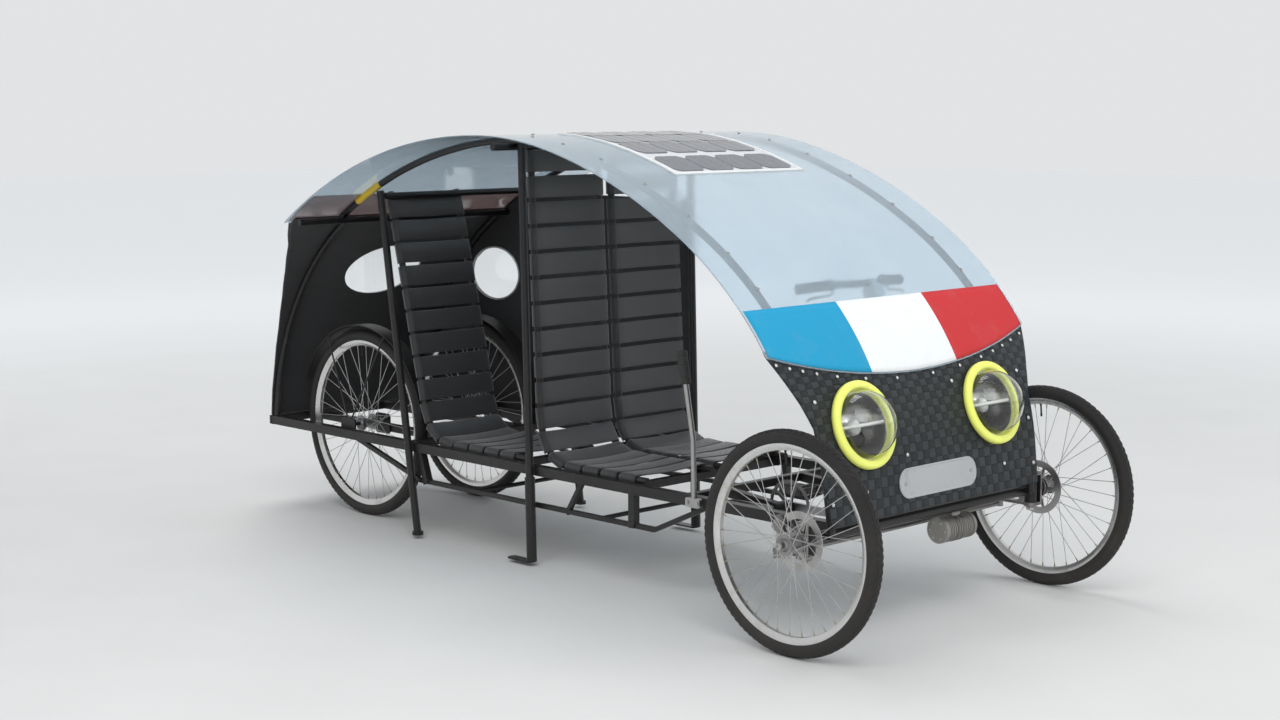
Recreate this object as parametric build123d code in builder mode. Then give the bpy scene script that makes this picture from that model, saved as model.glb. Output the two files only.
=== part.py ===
from build123d import *
from math import cos, sin, tan, radians
import os

os.makedirs("parts", exist_ok=True)

# Frame of the part: +X forward, +Y left, +Z up, origin on the ground under the middle of the vehicle.
# Sizes are millimetres. Places along the vehicle are given ahead of the rear axle and turned by fore().

# Wheels and axles
wheelbase = 2250.0
front_tyre_r = 300.0
rear_tyre_r = 325.0
tyre_w = 44.0
rim_depth = 19.0
rim_w = 27.0
rim_lip = 3.0
rim_wall = 2.0
rim_edge = 0.2
tyre_depth = 37.5
bead_gap = 0.3
front_track = 1146.0
rear_track = 486.0
spoke_count = 36
spoke_r = 1.2
hub_barrel_r = 17.0
hub_flange_r = 28.0
hub_flange_t = 3.5
hub_flange_y = 25.0
hub_half_w = 36.0
axle_r = 6.0
axle_clear = 0.05
disc_r = 80.0
disc_t = 2.0
tail_overhang = 430.0
running_gap = 0.3
weld_gap = 0.2

rear_axle_x = -(wheelbase + front_tyre_r - tail_overhang) / 2


def fore(distance):
    """Place along the vehicle, from a distance ahead of the rear axle."""
    return rear_axle_x + distance


front_axle_x = fore(wheelbase)
front_wheel_y = front_track / 2
rear_wheel_y = rear_track / 2

# Roof line in side view: arcs that touch, each with its radius and the slope where it ends, from the top down
roof_top_x = fore(1000.0)
roof_top_z = 1336.0
nose_arcs = ((1300.0, 13.5), (1800.0, 32.5), (1150.0, 48.0), (800.0, 82.0))
tail_arcs = ((1817.0, 33.4), (946.0, 87.0))
sheet_half_w = 570.0
sheet_t = 3.0
sheet_front_slope = 63.1
sheet_rear_slope = 33.4
sheet_corner_rise = 81.0

# Chassis
rail_y = 340.0
rail_w = 30.0
rail_z = 300.0
lower_rail_z = 190.0
lower_rail_w = 14.0
post_w = 24.0
cross_bar_w = 25.0
rail_corner_r = 4.0
bar_corner_r = 3.0
beam_r = 16.0
kingpin_y = 500.0
kingpin_r = 8.0
kingpin_housing_r = 18.0
kingpin_housing_h = 80.0

# Uprights and ribs
upright_r = 12.5
rib_r = 11.0
front_rib_y = 450.0
foot_clear = 12.0
pillar_foot_x = fore(1005.0)
pillar_lean = 0.0275
pillar_sleeve_r = 16.0
pillar_sleeve_top_z = 280.0
foot_plate_size = (105.0, 33.0, 5.0)
foot_plate_back = 49.0
rear_foot_r = 18.5
rear_foot_h = 12.0
foot_plate_corner_r = 8.0
rear_post_foot_x = fore(437.0)
rear_post_lean = 0.154

# Lamps
lamp_y = 288.0
lamp_slope = 72.0
lamp_ring_r = 121.0
lamp_ring_w = 24.0
lamp_ring_h = 18.0
lamp_dome_h = 84.0
lamp_depth = 70.0
lamp_wall = 2.5


def save(part, name):
    """Label a finished piece and write it."""
    part.label = name
    export_step(part, f"parts/{name}.step")


def roof_line(side, inset, low, high):
    """Arcs of the roof line between two slopes, as (start, middle, end) in side view; side -1 is the tail."""
    spans = []
    x, z, slope = 0.0, roof_top_z, 0.0
    for radius, end_slope in (nose_arcs if side > 0 else tail_arcs):
        centre_x = x - radius * sin(radians(slope))
        centre_z = z - radius * cos(radians(slope))
        first, last = max(slope, low), min(end_slope, high)
        if last - first > 1e-6:
            spans.append([
                (roof_top_x + side * (centre_x + (radius - inset) * sin(radians(turn))),
                 centre_z + (radius - inset) * cos(radians(turn)))
                for turn in (first, (first + last) / 2, last)
            ])
        x = centre_x + radius * sin(radians(end_slope))
        z = centre_z + radius * cos(radians(end_slope))
        slope = end_slope
    return spans


def roof_point(side, inset, slope):
    """Point of the roof line at a slope."""
    return roof_line(side, inset, slope - 0.01, slope)[-1][2]


def slope_at(side, place, axis):
    """Slope where the roof line reaches a place along X (axis 0) or Z (axis 1), by halving."""
    low, high = 0.02, (nose_arcs if side > 0 else tail_arcs)[-1][1]
    for _ in range(40):
        middle = (low + high) / 2
        point = roof_point(side, 0.0, middle)
        short = side * (point[0] - place) < 0 if axis == 0 else point[1] > place
        low, high = (middle, high) if short else (low, middle)
    return middle


def side_plane(y):
    """Plane of a side view at a distance left of the middle."""
    return Plane(origin=(0, y, 0), x_dir=(1, 0, 0), z_dir=(0, -1, 0))


def tube(points, radius, bend, y=None):
    """Round tube along a path with rounded corners; points are (x, z) at y, or (x, y, z)."""
    spots = [(x, y, z) for x, z in points] if y is not None else points
    with BuildPart() as run:
        with BuildLine() as path:
            if len(spots) > 2:
                FilletPolyline(*spots, radius=bend)
            else:
                Line(*spots)
        with BuildSketch(path.line ^ 0):
            Circle(radius)
        sweep(path=path.line)
    return run.part


def arc_tube(spans, radius, y):
    """Round tube along roof arcs, at a distance left of the middle."""
    with BuildPart() as run:
        with BuildLine() as path:
            for span in spans:
                ThreePointArc(*[(x, y, z) for x, z in span])
        with BuildSketch(path.line ^ 0):
            Circle(radius)
        sweep(path=path.line)
    return run.part


def band(outer, inner, half_w):
    """Curved sheet between two lines of roof arcs."""
    with BuildPart() as sheet:
        with BuildSketch(Plane.XZ):
            with BuildLine():
                for span in outer + inner:
                    ThreePointArc(*span)
                Line(outer[0][0], inner[0][0])
                Line(outer[-1][2], inner[-1][2])
            make_face()
        extrude(amount=half_w, both=True)
    return sheet.part


def whole_line(inset, rear_low, rear_high, front_low, front_high):
    """Roof arcs from the tail over the top to the nose, in order."""
    rear = [span[::-1] for span in reversed(roof_line(-1, inset, rear_low, rear_high))]
    return rear + roof_line(1, inset, front_low, front_high)


# Side trusses: square upper rail, thin lower rail, drop posts and diagonals, welded into one
rail_rear_x = fore(-420.0)
rail_front_x = front_axle_x - beam_r - weld_gap
lower_points = ((40.0, rail_z), (420.0, lower_rail_z), (1520.0, lower_rail_z), (1760.0, rail_z))
truss_struts = (
    # foot ahead of the rear axle, top ahead of the rear axle, width
    (460.0, 420.0, post_w),
    (1140.0, 1215.0, lower_rail_w),
    (1430.0, 1430.0, post_w),
)
for side, name in ((1, "side_truss_left"), (-1, "side_truss_right")):
    with BuildPart() as truss:
        with BuildSketch(side_plane(side * rail_y)):
            with Locations(((rail_rear_x + rail_front_x) / 2, rail_z)):
                RectangleRounded(rail_front_x - rail_rear_x, rail_w, rail_corner_r)
        extrude(amount=rail_w / 2, both=True)
        with BuildSketch(side_plane(side * rail_y)):
            with BuildLine():
                Polyline(*[(fore(x), z) for x, z in lower_points])
            trace(line_width=lower_rail_w)
        extrude(amount=lower_rail_w / 2, both=True)
        for foot_x, top_x, width in truss_struts:
            with BuildSketch(side_plane(side * rail_y)):
                with BuildLine():
                    Line((fore(foot_x), lower_rail_z - lower_rail_w / 2), (fore(top_x), rail_z))
                trace(line_width=width)
            extrude(amount=width / 2, both=True)
    save(truss.part, name)

# Cross members: bars between the rails under the seats, thin tubes between the lower rails, and the tail bar
rail_top_z = rail_z + rail_w / 2
between_rails = rail_y - rail_w / 2 - weld_gap
bar_below_rail_top = 6.3
bar_z = rail_top_z - bar_below_rail_top - cross_bar_w / 2
bar_places = (575.0, 860.0, 1230.0, 1400.0)
lower_tube_places = (700.0, 1290.0)
tail_bar_t = tail_overhang - 420.0 - weld_gap
with BuildPart() as cross_members:
    for place in bar_places:
        with BuildSketch(Plane.XZ):
            with Locations((fore(place), bar_z)):
                RectangleRounded(cross_bar_w, cross_bar_w, bar_corner_r)
        extrude(amount=between_rails, both=True)
    for place in lower_tube_places:
        with BuildSketch(Plane.XZ):
            with Locations((fore(place), lower_rail_z)):
                Circle(lower_rail_w / 2)
        extrude(amount=rail_y - lower_rail_w / 2 - weld_gap, both=True)
    with BuildSketch(Plane.YZ.offset(rail_rear_x - weld_gap)):
        with Locations((0, rail_z)):
            Rectangle(2 * rail_y + rail_w, rail_w)
    extrude(amount=-tail_bar_t)
save(cross_members.part, "cross_members")

# Rear axle mounts: inner bars behind a cross tube, and plates that hold the axles beside each wheel
inner_bar_y = 158.0
mount_plate_t = 6.0
mount_plate_size = (80.0, 70.0)
mount_plate_corner_r = 12.0
mount_plate_drop = 10.0
axle_cross_x = fore(352.0)
with BuildPart() as mounts:
    with BuildSketch(Plane.XZ):
        with Locations((axle_cross_x, rail_z)):
            RectangleRounded(cross_bar_w, cross_bar_w, bar_corner_r)
    extrude(amount=between_rails, both=True)
    bar_back_x = rail_rear_x
    for side in (1, -1):
        with BuildSketch(Plane.XY.offset(rail_z - cross_bar_w / 2)):
            with Locations(((bar_back_x + axle_cross_x) / 2, side * inner_bar_y)):
                Rectangle(axle_cross_x - bar_back_x, cross_bar_w)
        extrude(amount=cross_bar_w)
        for plate_y in (side * (inner_bar_y + cross_bar_w / 2 + mount_plate_t / 2),
                        side * (rail_y - rail_w / 2 - weld_gap - mount_plate_t / 2)):
            with BuildSketch(side_plane(plate_y)):
                with Locations((fore(0.0), rear_tyre_r - mount_plate_drop)):
                    RectangleRounded(*mount_plate_size, mount_plate_corner_r)
            extrude(amount=mount_plate_t / 2, both=True)
        axle_y0 = inner_bar_y + cross_bar_w / 2
        axle_y1 = rail_y - rail_w / 2 - weld_gap
        with BuildSketch(side_plane(side * (axle_y0 + axle_y1) / 2)):
            with Locations((fore(0.0), rear_tyre_r)):
                Circle(axle_r)
        extrude(amount=(axle_y1 - axle_y0) / 2, both=True)
save(mounts.part, "rear_axle_mounts")

# Front beam: a tube on the axle line with a kingpin housing at each end
with BuildPart() as beam:
    with BuildSketch(Plane.XZ):
        with Locations((front_axle_x, rail_z)):
            Circle(beam_r)
    extrude(amount=kingpin_y, both=True)
    for side in (1, -1):
        with BuildSketch(Plane.XY.offset(rail_z - kingpin_housing_h / 2)):
            with Locations((front_axle_x, side * kingpin_y)):
                Circle(kingpin_housing_r)
        extrude(amount=kingpin_housing_h)
    for side in (1, -1):
        with BuildSketch(Plane.XY.offset(rail_z - kingpin_housing_h / 2)):
            with Locations((front_axle_x, side * kingpin_y)):
                Circle(kingpin_r + axle_clear)
        extrude(amount=kingpin_housing_h, mode=Mode.SUBTRACT)
save(beam.part, "front_beam")

# Uprights: leaning rear posts that are also legs, and centre pillars with a sleeve and a foot plate
upright_y = rail_y + rail_w / 2 + weld_gap + upright_r
rib_inset = sheet_t + running_gap + rib_r
post_top_z = 1142.0
pillar_top_x = pillar_foot_x - pillar_lean * roof_top_z
pillar_top_z = roof_point(-1, rib_inset + rib_r, slope_at(-1, pillar_top_x, 0))[1] - running_gap - 0.5
with BuildPart() as uprights:
    for side in (1, -1):
        for foot_x, lean, top_z in (
            (rear_post_foot_x, rear_post_lean, post_top_z),
            (pillar_foot_x, pillar_lean, pillar_top_z),
        ):
            with BuildLine() as post_line:
                Line(*[(foot_x - lean * z, side * upright_y, z) for z in (foot_clear + 4.0, top_z)])
            with BuildSketch(post_line.line ^ 0):
                Circle(upright_r)
            sweep(path=post_line.line)
        with BuildSketch(Plane.XY.offset(foot_clear)):
            with Locations((rear_post_foot_x - rear_post_lean * foot_clear, side * upright_y)):
                Circle(rear_foot_r)
        extrude(amount=rear_foot_h)
        with BuildSketch(Plane.XY.offset(foot_clear)):
            with Locations((pillar_foot_x - foot_plate_back, side * upright_y)):
                RectangleRounded(foot_plate_size[0], foot_plate_size[1], foot_plate_corner_r)
        extrude(amount=foot_plate_size[2])
        with BuildLine() as sleeve_line:
            Line(*[(pillar_foot_x - pillar_lean * z, side * upright_y, z)
                   for z in (foot_clear + 4.0, pillar_sleeve_top_z)])
        with BuildSketch(sleeve_line.line ^ 0):
            Circle(pillar_sleeve_r)
        sweep(path=sleeve_line.line)
save(uprights.part, "uprights")

# Roof ribs under the sheet: the rear pair ends on the tail tube, the front pair on the dash tube
panel_t = 5.0
panel_inset = sheet_t + weld_gap
post_inset = panel_inset + panel_t + running_gap + rib_r
tube_inset = rib_inset + 2 * rib_r + running_gap
tail_tube_slope = 31.5
dash_tube_slope = 51.0
nose_end_slope = radians(nose_arcs[-1][1])
with BuildPart() as ribs:
    for side in (1, -1):
        add(arc_tube(whole_line(rib_inset, 0.0, tail_tube_slope + 0.5, 0.0, 1.6), rib_r, side * upright_y))
        add(arc_tube(roof_line(1, rib_inset, 0.3, dash_tube_slope + 0.8), rib_r, side * front_rib_y))
save(ribs.part, "roof_ribs")

top_tube_x = pillar_top_x - upright_r - rib_r - 2.0
top_tube_z = roof_point(-1, tube_inset, slope_at(-1, top_tube_x, 0))[1]
post_tube_z = 1125.0
post_tube = (rear_post_foot_x - rear_post_lean * post_tube_z, post_tube_z)
tube_short = 12.0
tube_end = 4.0
with BuildPart() as roof_tubes:
    for (place, z), half_w in (
        ((top_tube_x, top_tube_z), front_rib_y + rib_r),
        (post_tube, upright_y - upright_r - weld_gap),
        (roof_point(-1, tube_inset, tail_tube_slope), sheet_half_w - tube_short),
        (roof_point(1, tube_inset, dash_tube_slope), front_rib_y + rib_r + tube_end),
    ):
        with BuildSketch(Plane.XZ):
            with Locations((place, z)):
                Circle(rib_r)
        extrude(amount=half_w, both=True)
save(roof_tubes.part, "roof_cross_tubes")

# End posts behind the panels: from the dash tube to the beam, and from the tail tube to the rails
end_post_step = 0.9
bracket_h = 16.0
bracket_half_w = 7.0
bracket_rise = 4.0
bracket_back_x = front_axle_x + beam_r + weld_gap
nose_post_top = dash_tube_slope + end_post_step
nose_post_turn = roof_point(1, post_inset, nose_arcs[-1][1])
nose_post_foot = (nose_post_turn[0] + (nose_post_turn[1] - rail_z) / tan(nose_end_slope), rail_z)
tail_post_top = tail_tube_slope + 0.75
tail_post_low = slope_at(-1, rail_top_z + 3.0, 1)
with BuildPart() as end_posts:
    for side in (1, -1):
        add(arc_tube(roof_line(1, post_inset, nose_post_top, nose_arcs[-1][1]), rib_r, side * front_rib_y))
        add(tube([nose_post_turn, nose_post_foot], rib_r, 0.0, side * front_rib_y))
        with BuildSketch(side_plane(side * front_rib_y)):
            with Locations(((bracket_back_x + nose_post_foot[0]) / 2, rail_z + bracket_rise)):
                Rectangle(nose_post_foot[0] - bracket_back_x, bracket_h)
        extrude(amount=bracket_half_w, both=True)
        add(arc_tube(roof_line(-1, post_inset, tail_post_top, tail_post_low), rib_r, side * rail_y))
save(end_posts.part, "end_posts")

# Canopy: one clear sheet bent lengthwise, its front edge cut to a shallow smile
sheet_line = (0.0, sheet_rear_slope, 0.0, sheet_front_slope)
canopy = band(whole_line(0.0, *sheet_line), whole_line(sheet_t, *sheet_line), sheet_half_w)
sheet_front = roof_point(1, 0.0, sheet_front_slope)


def smile_cut(rise, lowest, width):
    """Solid below a shallow upward arc in front view, for trimming the front edges."""
    with BuildPart() as cut:
        with BuildSketch(Plane.YZ.offset(fore(1700.0))):
            with BuildLine():
                ThreePointArc((-width, lowest + rise), (0, lowest), (width, lowest + rise))
                Polyline((width, lowest + rise), (width, 0), (-width, 0), (-width, lowest + rise))
            make_face()
        extrude(amount=900.0)
    return cut.part


with BuildPart() as canopy_sheet:
    add(canopy)
    add(smile_cut(sheet_corner_rise, sheet_front[1], sheet_half_w + 1.0), mode=Mode.SUBTRACT)
save(canopy_sheet.part, "canopy_sheet")

# Bands on the sheet: the banner above its front edge and a tinted strip at its rear edge
banner_t = 1.0
banner_top_slope = 46.5
band_margin = 8.0
rear_band_slope = 27.6
with BuildPart() as bands:
    add(band(roof_line(1, -banner_t, banner_top_slope, sheet_front_slope),
             roof_line(1, 0.0, banner_top_slope, sheet_front_slope), sheet_half_w - band_margin))
    add(smile_cut(sheet_corner_rise, sheet_front[1] + 4.0, sheet_half_w + 1.0), mode=Mode.SUBTRACT)
    add(band(roof_line(-1, -banner_t, rear_band_slope, sheet_rear_slope - 0.2),
             roof_line(-1, 0.0, rear_band_slope, sheet_rear_slope - 0.2), sheet_half_w - band_margin))
save(bands.part, "sheet_bands")

# Solar panel: a thin curved plate in a pale frame on the roof
solar_t = 4.0
solar_slopes = (1.5, 21.5)
solar_half_w = 280.0
solar_border = 16.0
solar_gap = 0.5
solar_hole = (solar_slopes[0] + 0.7, solar_slopes[1] - 0.5)
cell_slopes = (solar_hole[0] + 0.02, solar_hole[1] - 0.02)
with BuildPart() as solar_frame:
    add(band(roof_line(1, -solar_t, *solar_slopes), roof_line(1, 0.0, *solar_slopes), solar_half_w))
    add(band(roof_line(1, -solar_t - 1.0, *solar_hole), roof_line(1, 0.0, *solar_hole),
             solar_half_w - solar_border), mode=Mode.SUBTRACT)
save(solar_frame.part, "solar_frame")
with BuildPart() as solar_cells:
    add(band(roof_line(1, -solar_t + 1.0, *cell_slopes), roof_line(1, 0.0, *cell_slopes),
             solar_half_w - solar_border - solar_gap))
save(solar_cells.part, "solar_cells")

# Nose panel: curved like the sheet that laps over it, sides cut in towards the bottom to clear the wheels
nose_bottom_z = 342.0
nose_lap = 22.0
nose_outline = (
    # half width, height
    (sheet_half_w - 4.0, 778.0),
    (sheet_half_w - 30.0, 726.0),
    (sheet_half_w - 65.0, 655.0),
    (sheet_half_w - 90.0, 590.0),
    (sheet_half_w - 104.0, nose_bottom_z),
)


def nose_lower(inset):
    """Straight foot of the nose line, below its last arc."""
    x, z = roof_point(1, inset, nose_arcs[-1][1])
    drop = z - nose_bottom_z
    return (x, z), (x + drop / tan(nose_end_slope), nose_bottom_z)


def lamp_plane(side):
    """Plane of a lamp on the nose panel, its normal pointing out."""
    x, z = roof_point(1, panel_inset, lamp_slope)
    normal = (sin(radians(lamp_slope)), 0, cos(radians(lamp_slope)))
    return Plane(origin=(x, side * lamp_y, z), x_dir=(0, 1, 0), z_dir=normal)


lamp_bowl_r = lamp_ring_r - lamp_ring_w - running_gap
bowl_back_r = 0.62 * lamp_bowl_r
bowl_shoulder = 18.0
bowl_rim_h = 10.0
bulb_r = 16.0
bulb_length = 50.0
bulb_bar_h = 14.0
bulb_bar_t = 6.0
lamp_hole_gap = 1.5
lamp_hole_reach = 30.0
lamp_ring_chamfer = 5.0
with BuildPart() as nose_panel:
    with BuildSketch(Plane.XZ):
        with BuildLine():
            outer = roof_line(1, panel_inset, 50.0, 82.0)
            inner = roof_line(1, panel_inset + panel_t, 50.0, 82.0)
            for span in outer + inner:
                ThreePointArc(*span)
            outer_foot = Line(*nose_lower(panel_inset))
            inner_foot = Line(*nose_lower(panel_inset + panel_t))
            Line(outer[0][0], inner[0][0])
            Line(outer_foot @ 1, inner_foot @ 1)
        make_face()
    extrude(amount=sheet_half_w, both=True)
    with BuildSketch(Plane.YZ.offset(fore(1700.0))):
        with BuildLine():
            top_z = sheet_front[1] + nose_lap
            corner_w, corner_z = nose_outline[0][0], top_z + sheet_corner_rise - 3.0
            ThreePointArc((-corner_w, corner_z), (0, top_z), (corner_w, corner_z))
            Polyline((corner_w, corner_z), *nose_outline, *[(-w, z) for w, z in reversed(nose_outline)],
                     (-corner_w, corner_z))
        make_face()
    extrude(amount=900.0, mode=Mode.INTERSECT)
    for side in (1, -1):
        with BuildSketch(lamp_plane(side)):
            Circle(lamp_bowl_r + lamp_hole_gap)
        extrude(amount=lamp_hole_reach, both=True, mode=Mode.SUBTRACT)
save(nose_panel.part, "nose_panel")

# Lamps: a bowl with its bulb bar, a thick bright ring and a clear dome
with BuildPart() as bowls:
    for side in (1, -1):
        for wall, mode in ((0.0, Mode.ADD), (lamp_wall, Mode.SUBTRACT)):
            with BuildSketch(lamp_plane(side).offset(wall - lamp_depth)):
                Circle(bowl_back_r - wall)
            with BuildSketch(lamp_plane(side).offset(-bowl_shoulder)):
                Circle(lamp_bowl_r - wall)
            loft(mode=mode)
            with BuildSketch(lamp_plane(side).offset(-bowl_shoulder)):
                Circle(lamp_bowl_r - wall)
            extrude(amount=bowl_shoulder + bowl_rim_h, mode=mode)
        with BuildSketch(lamp_plane(side).offset(lamp_wall - lamp_depth)):
            Circle(bulb_r)
        extrude(amount=bulb_length)
        with BuildSketch(lamp_plane(side).offset(-bowl_rim_h)):
            Rectangle(2 * lamp_bowl_r - lamp_wall, bulb_bar_h)
        extrude(amount=bulb_bar_t)
save(bowls.part, "lamp_bowls")

with BuildPart() as rings:
    for side in (1, -1):
        plane = lamp_plane(side)
        with BuildSketch(plane.offset(running_gap)):
            Circle(lamp_ring_r)
            Circle(lamp_ring_r - lamp_ring_w, mode=Mode.SUBTRACT)
        extrude(amount=lamp_ring_h)
    chamfer(rings.edges().filter_by(GeomType.CIRCLE).group_by(Axis.X)[-1], lamp_ring_chamfer)
save(rings.part, "lamp_rings")

with BuildPart() as domes:
    for side in (1, -1):
        plane = lamp_plane(side).offset(bowl_rim_h + running_gap)
        across = Plane(origin=plane.origin, x_dir=plane.x_dir, z_dir=plane.y_dir)
        dome_r = lamp_bowl_r - 0.5
        outer = [(dome_r * cos(radians(a)), -lamp_dome_h * sin(radians(a))) for a in range(0, 91, 15)]
        wall_r, wall_h = dome_r - lamp_wall, lamp_dome_h - lamp_wall
        inner = [(wall_r * cos(radians(a)), -wall_h * sin(radians(a))) for a in range(90, -1, -15)]
        with BuildSketch(across):
            with BuildLine():
                Polyline(*outer, *inner, outer[0])
            make_face()
        revolve(axis=Axis(plane.origin, plane.z_dir))
save(domes.part, "lamp_domes")

# Blank plate on the straight foot of the nose
plate_w = 345.0
plate_h = 98.0
plate_z = 405.0
plate_corner_r = 45.0
plate_t = 3.0
foot_top = nose_lower(panel_inset)[0]
plate_x = foot_top[0] + (foot_top[1] - plate_z) / tan(nose_end_slope)
plate_plane = Plane(origin=(plate_x, 0, plate_z), x_dir=(0, 1, 0),
                    z_dir=(sin(nose_end_slope), 0, cos(nose_end_slope))).offset(running_gap)
with BuildPart() as plate:
    with BuildSketch(plate_plane):
        RectangleRounded(plate_w, plate_h, plate_corner_r)
    extrude(amount=plate_t)
save(plate.part, "nose_plate")

# Tail panel: from the rear edge of the sheet round to the tail bar, with an oval pane
tail_inset = panel_inset
tail_bottom_slope = slope_at(-1, rail_top_z + 2.0, 1)
tail_outline = (
    # half width, height
    (sheet_half_w - 25.0, 1100.0),
    (sheet_half_w - 25.0, 1030.0),
    (sheet_half_w - 92.0, 950.0),
    (sheet_half_w - 140.0, 855.0),
    (sheet_half_w - 175.0, 755.0),
    (sheet_half_w - 200.0, 640.0),
    (rail_y + 16.0, 500.0),
    (rail_y + 12.0, rail_top_z + 1.0),
)
window_z = 835.0
window_half_w = 165.0
window_half_h = 92.0
pane_t = 3.0
tail_front_plane = Plane.YZ.offset(fore(-460.0))
with BuildPart() as tail_panel:
    add(band(roof_line(-1, tail_inset, sheet_rear_slope - 1.0, tail_bottom_slope),
             roof_line(-1, tail_inset + panel_t, sheet_rear_slope - 1.0, tail_bottom_slope), sheet_half_w))
    with BuildSketch(tail_front_plane):
        with BuildLine():
            Polyline(*tail_outline, *[(-w, z) for w, z in reversed(tail_outline)], tail_outline[0])
        make_face()
    extrude(amount=900.0, mode=Mode.INTERSECT)
    with BuildSketch(tail_front_plane):
        with Locations((0, window_z)):
            Ellipse(window_half_w, window_half_h)
    extrude(amount=900.0, mode=Mode.SUBTRACT)
save(tail_panel.part, "tail_panel")

with BuildPart() as panes:
    add(band(roof_line(-1, tail_inset + 1.0, sheet_rear_slope, tail_bottom_slope),
             roof_line(-1, tail_inset + 1.0 + pane_t, sheet_rear_slope, tail_bottom_slope), sheet_half_w))
    with BuildSketch(tail_front_plane):
        with Locations((0, window_z)):
            Ellipse(window_half_w - running_gap, window_half_h - running_gap)
    extrude(amount=900.0, mode=Mode.INTERSECT)

# Left quarter panel from the tail to the centre pillar, level below the post tube, with an oval pane
quarter_y = rail_y + rail_w / 2 - 4.0
quarter_window = (fore(2.0), 812.0)
quarter_window_half = (130.0, 95.0)
quarter_t = 4.0
quarter_inset = rib_inset + rib_r + 1.0
quarter_step_x = fore(227.0)
quarter_top_z = post_tube_z - rib_r - 2.0
quarter_foot_z = rail_top_z + 1.0
quarter_arcs = roof_line(-1, quarter_inset, slope_at(-1, quarter_step_x, 0),
                         slope_at(-1, quarter_foot_z + 20.0, 1))
with BuildPart() as quarter:
    with BuildSketch(side_plane(quarter_y)):
        with BuildLine():
            for span in quarter_arcs:
                ThreePointArc(*span)
            Polyline(quarter_arcs[0][0],
                     (quarter_arcs[0][0][0], quarter_top_z),
                     (pillar_foot_x - pillar_lean * quarter_top_z, quarter_top_z),
                     (pillar_foot_x - pillar_lean * quarter_foot_z, quarter_foot_z),
                     (quarter_arcs[-1][2][0], quarter_foot_z),
                     quarter_arcs[-1][2])
        make_face()
        with Locations(quarter_window):
            Ellipse(*quarter_window_half, mode=Mode.SUBTRACT)
        with Locations(roof_point(-1, tube_inset, tail_tube_slope)):
            Circle(rib_r + 1.0, mode=Mode.SUBTRACT)
    extrude(amount=quarter_t / 2, both=True)
save(quarter.part, "quarter_panel_left")
with panes:
    with BuildSketch(side_plane(quarter_y)):
        with Locations(quarter_window):
            Ellipse(quarter_window_half[0] - running_gap, quarter_window_half[1] - running_gap)
    extrude(amount=pane_t / 2, both=True)
save(panes.part, "rear_panes")

# Seats: side tubes with rounded corners, and slats across them, laid along a line over the tubes
seat_tube_r = 11.0
slat_w = 60.0
seat_bend = 130.0
slat_t = 6.0
slat_corner_r = 2.5
seat_tube_z = bar_z + cross_bar_w / 2 + running_gap + seat_tube_r
rear_back_lean = 0.247
rear_back_step = (rib_r + seat_tube_r + running_gap) * (1 + rear_back_lean ** 2) ** 0.5
rear_back_foot_x = post_tube[0] - rear_back_step + rear_back_lean * post_tube_z
rear_back_top_z = post_tube_z + rib_r
front_back_top_z = top_tube_z - rib_r - running_gap
rear_seat_line = (
    (rear_back_foot_x - rear_back_lean * rear_back_top_z, rear_back_top_z),
    (rear_back_foot_x - rear_back_lean * seat_tube_z, seat_tube_z),
    (fore(917.0), seat_tube_z),
)
front_seat_line = ((top_tube_x, front_back_top_z), (fore(993.0), seat_tube_z), (fore(1455.0), seat_tube_z))
seat_inner_y = 6.0
seat_outer_y = 322.0
seat_tube_in = 22.0
seat_tube_out = 14.0
seats = (
    # name, side line, sides, top of the first slat, slat pitch
    ("rear_seat", rear_seat_line, (-1,), 26.0, 72.0),
    ("front_seats", front_seat_line, (-1, 1), 4.0, 75.0),
)
for name, line, sides, slat_start, pitch in seats:
    with BuildPart() as frame_tubes:
        for side in sides:
            for y in (side * (seat_inner_y + seat_tube_in), side * (seat_outer_y - seat_tube_out)):
                add(tube(line, seat_tube_r, seat_bend, y))
    save(frame_tubes.part, f"{name}_frame" if name == "rear_seat" else "front_seat_frames")
    with BuildLine() as slat_path:
        FilletPolyline(*[(x, 0, z) for x, z in line], radius=seat_bend)
    slat_wire = slat_path.wire()
    length = slat_wire.length
    count = int((length - slat_w - slat_start) / pitch)
    with BuildPart() as slats:
        for side in sides:
            for step in range(count + 1):
                along_mm = slat_w / 2 + slat_start + step * pitch
                spot = slat_wire @ (along_mm / length)
                along = slat_wire % (along_mm / length)
                over = Vector(-along.Z, 0, along.X)
                lift = 0.0
                for reach in (-slat_w / 2, -slat_w / 4, 0.0, slat_w / 4, slat_w / 2):
                    share = min(max((along_mm + reach) / length, 0.0), 1.0)
                    turn = slat_wire % share
                    skin = slat_wire @ share + Vector(-turn.Z, 0, turn.X) * seat_tube_r
                    lift = max(lift, (skin - spot).dot(over))
                middle = spot + over * (lift + running_gap + slat_t / 2)
                centre = (middle.X, side * (seat_inner_y + seat_outer_y) / 2, middle.Z)
                plane = Plane(origin=centre, x_dir=along, z_dir=(0, -1, 0))
                with BuildSketch(plane):
                    RectangleRounded(slat_w, slat_t, slat_corner_r)
                extrude(amount=(seat_outer_y - seat_inner_y) / 2, both=True)
    save(slats.part, f"{name}_slats" if name == "rear_seat" else "front_seat_slats")

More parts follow.
